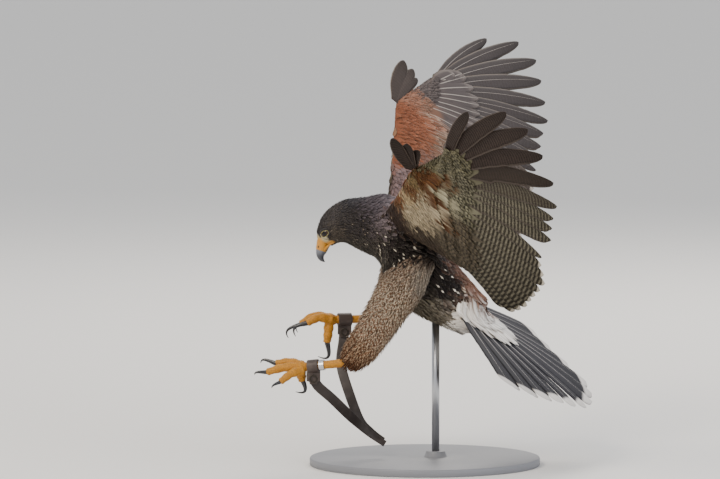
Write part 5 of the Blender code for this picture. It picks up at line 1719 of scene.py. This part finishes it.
def claw_path(toe, bend, tip):
    """A claw's curve from just past the toe's end, through its bend, to its tip."""
    run = toe_run(toe)
    start = toe[-1] - run * 2.0
    near = start + run * (np.linalg.norm(tip - start) * 0.25)
    far = (bend * 8 - start - near * 3 - tip) / 3
    t = np.linspace(0, 1, 15)[:, None]
    return start * (1 - t) ** 3 + near * (3 * t * (1 - t) ** 2) + far * (3 * t * t * (1 - t)) + tip * t ** 3


def make_legs():
    """Scaly shanks and feet with horn plates, and black claws."""
    foot = bare_skin_material("foot_skin", colours().foot, linear("#85580c"), 1.7, 0.25, 0.6)
    plate = bare_skin_material("foot_plates", linear("#c68a08"), linear("#96640c"), 2.6, 0.1, 0.6)
    claw = horn_material("claw_horn", linear("#151417"), linear("#2c2a2d"), 0.0, 0.4)
    for side, leg in LEGS.items():
        start, end = (np.array(p, float) for p in leg["shank"])
        run = unit(end - start)
        line = start + (end - start) * np.linspace(0, 1, 25)[:, None]
        wave = SHANK_RADIUS * (1 + 0.05 * np.cos(np.linspace(0, 1, 25) * 2 * math.pi) ** 2)
        solid("shank_" + side, tube(line * MM, wave * MM, 24), foot, "tarsus_" + side)
        parts = []
        palm = start + (end - start) + run * np.array((-1.0, 2.0, 5.0, 8.0, 10.5, 12.4))[:, None]
        palm_radii = np.array((5.4, 6.6, 8.3, 8.7, 7.2, 3.0))
        parts.append(loft(tube(curve_through(palm, 3) * MM, curve_through(palm_radii[:, None], 3)[:, 0] * MM,
                               24)))
        plates = []
        for toe, (points, radii) in leg["toes"].items():
            rows = curve_through([(*p, r) for p, r in zip(points, radii)], 12)
            path = rows[:, :3]
            travel = np.concatenate([[0], np.cumsum(np.linalg.norm(np.diff(path, axis=0), axis=1))])
            swell = 1 + 0.07 * np.cos(travel / travel[-1] * 3 * 2 * math.pi)
            ends = np.sqrt(np.clip(1 - np.clip((travel - travel[-1] + 3.0) / 3.4, 0, 1) ** 2, 0.1, 1))
            radius = rows[:, 3] * swell * ends
            parts.append(loft(tube(path * MM, radius * MM, 20)))
            plates += toe_plates(path, rows[:, 3] * swell, travel)
            bend, tip = (np.array(p, float) for p in leg["claws"][toe])
            curve = claw_path(path, bend, tip)
            t = np.linspace(0, 1, len(curve))
            thick = CLAW_RADII[toe] * (1 - t) ** 0.8 + CLAW_TIP_RADIUS * t
            solid("claw_horn_" + toe + "_" + side, tube(curve * MM, thick * MM, 20, 0.8), claw,
                  "claw_" + toe + "_" + side)
        points, quads, tris = joined(parts)
        piece = make_piece("foot_skin_" + side, points, (quads, tris), [foot])
        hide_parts("foot_" + side)
        plates += shank_plates(start, end)
        points, quads, tris = joined(plates)
        make_piece("foot_plates_" + side, points, (quads, tris), [plate])


def toe_plates(path, radii, travel, spacing=2.7):
    """Overlapping horn plates across the top of a toe."""
    out = []
    up_path = []
    side = np.array((0.0, 1.0, 0.0))
    for run in runs(path):
        up = np.cross(side, run)
        up = up if up[2] > 0 or abs(run[2]) > 0.8 and up[0] < 0 else -up
        up_path.append(unit(up))
    up_path = np.array(up_path)
    for at in np.arange(spacing, travel[-1] - 1.0, spacing):
        p = np.array([np.interp(at, travel, path[:, k]) for k in range(3)])
        up = unit(np.array([np.interp(at, travel, up_path[:, k]) for k in range(3)]))
        run = unit(np.array([np.interp(at, travel, runs(path)[:, k]) for k in range(3)]))
        radius = np.interp(at, travel, radii)
        across = np.cross(run, up)
        centre = p + up * radius * 0.42
        rings = ball_rings(centre * MM, (radius * 0.80 * MM, radius * 0.66 * MM, spacing * 0.62 * MM),
                           np.array((across, up, unit(run + up * 0.12))), 7, 12)
        out.append(loft(rings))
    return out


def shank_plates(start, end, spacing=4.2):
    """Broad plates down the front of a shank."""
    run = unit(end - start)
    length = np.linalg.norm(end - start)
    front = unit(np.cross(np.cross(run, (0, 0, 1)), run))
    across = np.cross(run, front)
    out = []
    for at in np.arange(spacing, length, spacing):
        centre = start + run * at + front * SHANK_RADIUS * 0.32
        rings = ball_rings(centre * MM, (SHANK_RADIUS * 0.9 * MM, SHANK_RADIUS * 0.76 * MM,
                                         spacing * 0.60 * MM),
                           np.array((across, front, unit(run + front * 0.1))), 7, 16)
        out.append(loft(rings))
    return out


def leather_material(name, colour, roughness):
    """Greased leather with fine grain and a few worn paler patches."""
    mat, tree, shader = new_material(name, colour, roughness, Specular_IOR_Level=0.4)
    place = add_node(tree, "ShaderNodeTexCoord")
    grain = add_node(tree, "ShaderNodeTexVoronoi", {"Scale": 1400.0})
    worn = add_node(tree, "ShaderNodeTexNoise", {"Scale": 70.0, "Detail": 4.0})
    for made in (grain, worn):
        tree.links.new(place.outputs["Object"], made.inputs["Vector"])
    paler = tuple(min(1.0, 1.9 * c + 0.02) for c in colour)
    share = maths(tree, "MULTIPLY", stepped(tree, worn.outputs["Fac"], 0.45, 0.7), 0.45)
    tree.links.new(blended(tree, share, colour, paler), shader.inputs["Base Color"])
    bump = add_node(tree, "ShaderNodeBump", {"Strength": 0.35, "Distance": 0.0002,
                                             "Height": grain.outputs["Distance"]})
    tree.links.new(bump.outputs[0], shader.inputs["Normal"])
    return mat


def remeshed(name, node, voxel, rounds, mat):
    """A CAD node on a fine grid with its edges softened, as a piece that stands for it."""
    points, tris, _ = node_mesh([node])
    mesh = bpy.data.meshes.new("source")
    mesh.from_pydata([tuple(p) for p in points], [], [tuple(int(i) for i in t) for t in tris])
    obj = bpy.data.objects.new("source", mesh)
    bpy.context.scene.collection.objects.link(obj)
    grid = obj.modifiers.new("grid", "REMESH")
    grid.mode = "VOXEL"
    grid.voxel_size = voxel
    soft = obj.modifiers.new("soft", "SMOOTH")
    soft.iterations = rounds
    made = bpy.data.meshes.new_from_object(obj.evaluated_get(bpy.context.evaluated_depsgraph_get()))
    bpy.data.objects.remove(obj)
    bpy.data.meshes.remove(mesh)
    made.name = name
    made.polygons.foreach_set("use_smooth", np.ones(len(made.polygons), bool))
    made.materials.clear()
    made.materials.append(mat)
    piece = bpy.data.objects.new(name, made)
    bpy.context.scene.collection.objects.link(piece)
    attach(piece, BODY)
    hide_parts(node)
    return piece


STRAP_WIDTH = 13.0
STRAP_THICKNESS = 2.0
STRAP_TWIST = 0.9


def strap_rings(path):
    """Rings of a flat strap with rounded edges that faces the camera's side."""
    out = []
    turn = 2 * np.pi * (np.arange(16) + 0.5) / 16
    width = STRAP_WIDTH / 2 * np.sign(np.cos(turn)) * np.abs(np.cos(turn)) ** 0.35
    thick = STRAP_THICKNESS / 2 * np.sign(np.sin(turn)) * np.abs(np.sin(turn)) ** 0.6
    for share, p, run in zip(np.linspace(0, 1, len(path)), path, runs(path)):
        turned = STRAP_TWIST * smooth_step(0.45, 1.0, share)
        face = np.array((math.sin(turned), -math.cos(turned), 0.0))
        face = unit(face - run * (run @ face))
        across = unit(np.cross(face, run)) * (1 - 0.3 * smooth_step(0.5, 0.95, share))
        out.append(p + across * width[:, None] + face * thick[:, None])
    return np.array(out) * MM


def make_gear():
    """Leather anklets and flat straps, their eyelets, and the aluminium leg ring."""
    leather = leather_material("anklet_leather", colours().leather, 0.5)
    strap = leather_material("strap_leather", tuple(c * 0.5 for c in colours().leather), 0.5)
    brass, _, _ = new_material("eyelet_brass", linear("#3a342e"), 0.35, Metallic=0.8)
    ring, _, _ = new_material("ring_aluminium", linear("#c5c8cc"), 0.3, Metallic=1.0)
    for side in SIDES:
        remeshed("cuff_" + side, "anklet_" + side, 0.55 * MM, 5, leather)
        remeshed("eyelet_rim_" + side, "eyelet_" + side, 0.3 * MM, 4, brass)
        path = curve_through(LEGS[side]["strap"], 10)
        solid("strap_" + side, strap_rings(path), strap, "jess_" + side)
    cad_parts["leg_ring"].data.materials.clear()
    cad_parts["leg_ring"].data.materials.append(ring)


STAND_PROFILE = ((0, 0.2, 0.0), (0, 149.2, 0.0), (0, 150.0, 0.8), (0, 150.0, 8.2), (0, 149.4, 9.5),
                 (0, 148.0, 10.0), (0, 60.0, 10.0), (14, 16.0, 10.0), (14, 15.0, 10.3), (14, 12.4, 17.2),
                 (14, 11.8, 17.9), (14, 11.0, 18.0), (14, 6.0, 18.0))
ROD_X = 14.0
ROD_RADIUS = 5.0


def make_stand():
    """A weighted round base with powder coat and a brushed steel rod up to the belly."""
    base, tree, shader = new_material("base_powder_coat", colours().stand, 0.5)
    place = add_node(tree, "ShaderNodeTexCoord")
    noise = add_node(tree, "ShaderNodeTexNoise", {"Scale": 900.0, "Detail": 2.0})
    tree.links.new(place.outputs["Object"], noise.inputs["Vector"])
    bump = add_node(tree, "ShaderNodeBump", {"Strength": 0.25, "Distance": 0.0002,
                                             "Height": noise.outputs["Fac"]})
    tree.links.new(bump.outputs[0], shader.inputs["Normal"])
    steel, _, _ = new_material("rod_steel", linear("#b9bbbf"), 0.32, Metallic=1.0)
    turn = 2 * np.pi * np.arange(96) / 96
    rings = [np.stack([x + r * np.cos(turn), r * np.sin(turn), np.full(96, z)], 1) * MM
             for x, r, z in STAND_PROFILE]
    solid("stand_foot", rings, base, "stand_base")
    low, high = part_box("stand_rod")
    turn = 2 * np.pi * np.arange(32) / 32
    heights = (low.z, high.z)
    rings = [np.stack([ROD_X + ROD_RADIUS * np.cos(turn), ROD_RADIUS * np.sin(turn),
                       np.full(32, z / MM)], 1) * MM for z in heights]
    solid("stand_post", rings, steel, "stand_rod")


def camera_data():
    """The camera's middle point, looking direction and lens, all in metres but the lens in mm."""
    tilt = math.radians(VIEW_TILT)
    look = Vector((0, math.cos(tilt), -math.sin(tilt)))
    target = Vector((VIEW_CENTRE[0], VIEW_CENTRE[1], VIEW_CENTRE[2] / math.cos(tilt))) * MM
    lens = SENSOR_WIDTH * VIEW_DISTANCE / (FRAME_WIDTH * PIXEL_MM)
    return target, look, lens


def make_stage():
    target, look, lens = camera_data()
    data = bpy.data.cameras.new("view")
    data.sensor_width = SENSOR_WIDTH
    data.lens = lens
    data.clip_end = 100.0
    camera = bpy.data.objects.new("view", data)
    camera.location = target - look * (VIEW_DISTANCE * MM)
    camera.rotation_euler = look.to_track_quat("-Z", "Y").to_euler()
    bpy.context.scene.collection.objects.link(camera)
    bpy.context.scene.camera = camera

    ground, _, _ = new_material("studio_floor", colours().floor, 0.9, Specular_IOR_Level=0.1)
    half = 60.0
    mesh = bpy.data.meshes.new("floor")
    mesh.from_pydata([(-half, -half, 0), (half, -half, 0), (half, half, 0), (-half, half, 0)], [], [(0, 1, 2, 3)])
    mesh.materials.append(ground)
    floor = bpy.data.objects.new("floor", mesh)
    bpy.context.scene.collection.objects.link(floor)

    world = bpy.data.worlds.new("studio")
    bpy.context.scene.world = world
    world.use_nodes = True
    world.node_tree.nodes["Background"].inputs[0].default_value = (*linear("#eceef2"), 1.0)
    world.node_tree.nodes["Background"].inputs[1].default_value = 1.05
    lamps = (
        ("key", (-1.6, -2.2, 2.6), 1.6, 95.0, "#fff4e4"),
        ("fill", (2.2, -1.8, 1.4), 2.0, 38.0, "#e8f0ff"),
        ("rim", (0.6, 2.4, 2.2), 1.6, 60.0, "#fff8f0"),
    )
    for name, place, size, power, text in lamps:
        light = bpy.data.lights.new(name, "AREA")
        light.size = size
        light.energy = power
        light.color = linear(text)
        lamp = bpy.data.objects.new(name, light)
        lamp.location = place
        lamp.rotation_euler = (Vector((0, 0, 0.28)) - Vector(place)).to_track_quat("-Z", "Y").to_euler()
        bpy.context.scene.collection.objects.link(lamp)


def make_skin(flesh):
    """One skin over the whole body, under the coat, coloured as the coat is but darker."""
    points = flesh.points - flesh.normals * flesh.depths[:, None]
    ground = np.zeros((len(points), 3))
    for group in range(len(flesh.groups)):
        chosen = flesh.group == group
        if chosen.any():
            ground[chosen] = flesh.values(flesh.points[chosen], flesh.normals[chosen], group)[:, :3]
    ground *= 0.75
    bare = bare_share(flesh.points)[:, None]
    face = mixed(folded(flesh.points), [(-134, 6, 288), (-124, 9, 288), (-136, 5, 293), (-136, 5, 301), (-128, 10, 297)],
                 [linear(c) for c in ("#bd8430", "#bb8434", "#bd8f48", "#a39978", "#a09676")], 6)
    ground = ground * (1 - bare) + face * bare
    skin = make_piece("skin", points, (flesh.faces,), [skin_material()], attributes={"ground": ground})
    nodes = [node for members in GROUPS.values() for node in members]
    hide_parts(*nodes)


def make_body_coat(flesh):
    rng = np.random.default_rng(SEED)
    dark = plumage_material("dark_plumage")
    rufous = plumage_material("boot_plumage")
    white = plumage_material("white_plumage")
    for name in ("head", "neck", "trunk", "rump", "boot_left", "boot_right", "tail_coverts"):
        group = flesh.groups.index(name)

        def covered(points, normals):
            if name == "tail_coverts":
                return np.linalg.norm(points - np.array(TAIL_ROOT) * MM, axis=1) < 0.5 * TAIL_COVER * MM
            return (bare_share(points) < 0.5) & (eye_distance(points) > EYE_OPENING * MM)

        mat, slot = dark, "dark_feather"
        if name.startswith("boot") or name == "rump":
            mat, slot = rufous, "rufous_feather"
        if name == "tail_coverts":
            mat, slot = white, "white_feather"
        tuft_piece("coat_" + name, flesh, group, covered, mat, rng)
    tail_coverts(white, rng)


REAR_EDGE_FACING = 0.6
HAND_COAT_SPAN = 15.0


def cover_share(points, side):
    """How far out each point is along the nearest long feather, as a share of its cover."""
    points = np.asarray(points)
    best = np.full(len(points), 0.012)
    out = np.zeros(len(points))
    normal = WingFrame(side).normal
    for f in wing_feathers(side):
        away = points - f["base"]
        away = away - (away @ normal)[:, None] * normal
        reach = away @ f["along"]
        aside = np.linalg.norm(away - reach[:, None] * f["along"], axis=1)
        nearer = (aside < best) & (reach > 0)
        best = np.where(nearer, aside, best)
        out = np.where(nearer, reach / f["cover"], out)
    return out


def make_wing_coat(flesh):
    rng = np.random.default_rng(SEED + 1)
    mat = plumage_material("wing_plumage")
    for side in SIDES:
        axes = WingFrame(side)
        group = flesh.groups.index("wing_" + side)
        for face in ("upper", "under"):

            def on_face(points, normals):
                share = normals @ axes.normal
                chosen = share > 0.05 if face == "upper" else share <= 0.05
                span = axes.flat(points)[:, 0]
                chosen &= (normals * wing_lie(points, side)).sum(1) < REAR_EDGE_FACING
                limit = np.where((span > HAND_COAT_SPAN) & (face == "upper"), 0.24, 0.5)
                return chosen & (cover_share(points, side) < limit)

            tuft_piece("coat_wing_" + face + "_" + side, flesh, group, on_face, mat, rng)
            wing_coverts(side, face, mat, rng)


def make_wing_feathers():
    rng = np.random.default_rng(SEED + 2)
    c = colours()
    white = linear("#efe9e2")
    primary_top = flight_material("primary_upper", c.primary, linear("#9a8d81"), linear("#3f3936"), 0.25,
                                  0.4, 0.0, white)
    primary_under = flight_material("primary_under", c.finger, linear("#7d7168"), linear("#4d413b"), 0.5,
                                    0.45, 0.0, white, inward=(c.bar_pale, c.bar_dark))
    secondary_top = flight_material("secondary_upper", c.secondary, linear("#a08d7c"), linear("#453b35"),
                                    0.45, 0.4, 0.006, linear("#cfc4b6"))
    secondary_under = flight_material("secondary_under", c.bar_pale, linear("#8f8575"), c.bar_dark, 0.9,
                                      0.3, 0.005, linear("#cdc4b4"))
    thumb_top = flight_material("thumb_upper", linear("#4b423e"), linear("#a3968a"), linear("#38312d"),
                                0.3, 0.6, 0.0, white)
    thumb_under = flight_material("thumb_under", c.finger, linear("#7d7168"), linear("#4d413b"), 0.4,
                                  0.5, 0.0, white)
    pale_shaft, _, _ = new_material("shaft_pale", linear("#8f857d"), 0.5)
    dark_shaft, _, _ = new_material("shaft_dark", linear("#3a312b"), 0.5)
    for side in SIDES:
        normal = WingFrame(side).normal
        fan = wing_feathers(side)
        both = flight_vanes(fan, normal, np.random.default_rng(SEED + 3))
        flight_piece("primary_vanes_" + side, fan[:10], normal, [primary_top, primary_under], rng,
                     ("primaries_" + side,))
        flight_piece("secondary_vanes_" + side, fan[10:], normal, [secondary_top, secondary_under], rng,
                     ("secondaries_" + side,))
        shaft_piece("wing_shafts_" + side, both[0], both[2], [pale_shaft, dark_shaft],
                    sizes().shaft_radius * 0.45)
        thumb = thumb_feathers(side)
        flight_piece("thumb_vanes_" + side, thumb, unit(WINGS[side]["thumb_normal"]),
                     [thumb_top, thumb_under], rng, ("alula_" + side,))


def make_tail():
    rng = np.random.default_rng(SEED + 4)
    c = colours()
    top = flight_material("tail_upper", c.tail, linear("#7d7a78"), linear("#29282c"), 0.15, 0.1, 0.017,
                          c.tail_tip, 0.55)
    under = flight_material("tail_under", linear("#4c494a"), linear("#9b958e"), linear("#37353a"), 0.2, 0.2,
                            0.017, c.tail_tip, 0.45)
    white, _, _ = new_material("tail_shaft", linear("#b4afaa"), 0.4)
    feathers, normal = tail_feathers()
    middles, _, ups, _ = flight_piece("tail_vanes", feathers, normal, [top, under], rng, ("tail",), 6)
    shaft_piece("tail_shafts", middles, ups, [white, white], sizes().shaft_radius * 0.4)


class HAWK_OT_stage(bpy.types.Operator):
    """Place the camera, the floor and the soft studio lights"""

    bl_idname = "hawk.stage"
    bl_label = "Stage"

    def execute(self, context):
        make_stage()
        return {"FINISHED"}


class HAWK_OT_skin_and_coat(bpy.types.Operator):
    """Build the skin and the small feathers that lie over it"""

    bl_idname = "hawk.skin_and_coat"
    bl_label = "Skin and Coat"

    def execute(self, context):
        flesh = Flesh()
        flesh.depths = skin_depths(flesh)
        make_skin(flesh)
        make_body_coat(flesh)
        make_wing_coat(flesh)
        return {"FINISHED"}


class HAWK_OT_flight_feathers(bpy.types.Operator):
    """Build the long feathers of the wings, the thumbs and the tail"""

    bl_idname = "hawk.flight_feathers"
    bl_label = "Flight Feathers"

    def execute(self, context):
        make_wing_feathers()
        make_tail()
        return {"FINISHED"}


class HAWK_OT_head(bpy.types.Operator):
    """Build the bill, cere, mouth rims and eyes"""

    bl_idname = "hawk.head"
    bl_label = "Bill and Eyes"

    def execute(self, context):
        make_bill()
        make_mouth(bpy.data.materials["cere_skin"])
        make_eyes()
        return {"FINISHED"}


class HAWK_OT_legs(bpy.types.Operator):
    """Build the shanks, feet, plates and claws"""

    bl_idname = "hawk.legs"
    bl_label = "Legs"

    def execute(self, context):
        make_legs()
        return {"FINISHED"}


class HAWK_OT_gear(bpy.types.Operator):
    """Build the anklets, straps, eyelets and leg ring"""

    bl_idname = "hawk.gear"
    bl_label = "Gear"

    def execute(self, context):
        make_gear()
        return {"FINISHED"}


class HAWK_OT_stand(bpy.types.Operator):
    """Build the plain display stand"""

    bl_idname = "hawk.stand"
    bl_label = "Stand"

    def execute(self, context):
        make_stand()
        return {"FINISHED"}


STEPS = (HAWK_OT_stage, HAWK_OT_skin_and_coat, HAWK_OT_flight_feathers, HAWK_OT_head, HAWK_OT_legs,
         HAWK_OT_gear, HAWK_OT_stand)


class HAWK_PT_build(bpy.types.Panel):
    """Lists the steps that build the hawk and its main sizes and colours"""

    bl_label = "Landing Hawk"
    bl_idname = "HAWK_PT_build"
    bl_space_type = "VIEW_3D"
    bl_region_type = "UI"
    bl_category = "Hawk"

    def draw(self, context):
        for step in STEPS:
            self.layout.operator(step.bl_idname)
        for group in (context.scene.hawk_sizes, context.scene.hawk_colours):
            for name in type(group).__annotations__:
                self.layout.prop(group, name)


CLASSES = (HawkSizes, HawkColours, *STEPS, HAWK_PT_build)


def register():
    for made in CLASSES:
        bpy.utils.register_class(made)
    bpy.types.Scene.hawk_sizes = PointerProperty(type=HawkSizes)
    bpy.types.Scene.hawk_colours = PointerProperty(type=HawkColours)


def unregister():
    del bpy.types.Scene.hawk_colours
    del bpy.types.Scene.hawk_sizes
    for made in reversed(CLASSES):
        bpy.utils.unregister_class(made)


def main():
    register()
    bpy.ops.hawk.stage()
    bpy.ops.hawk.skin_and_coat()
    bpy.ops.hawk.flight_feathers()
    bpy.ops.hawk.head()
    bpy.ops.hawk.legs()
    bpy.ops.hawk.gear()
    bpy.ops.hawk.stand()


if __name__ == "__main__":
    main()
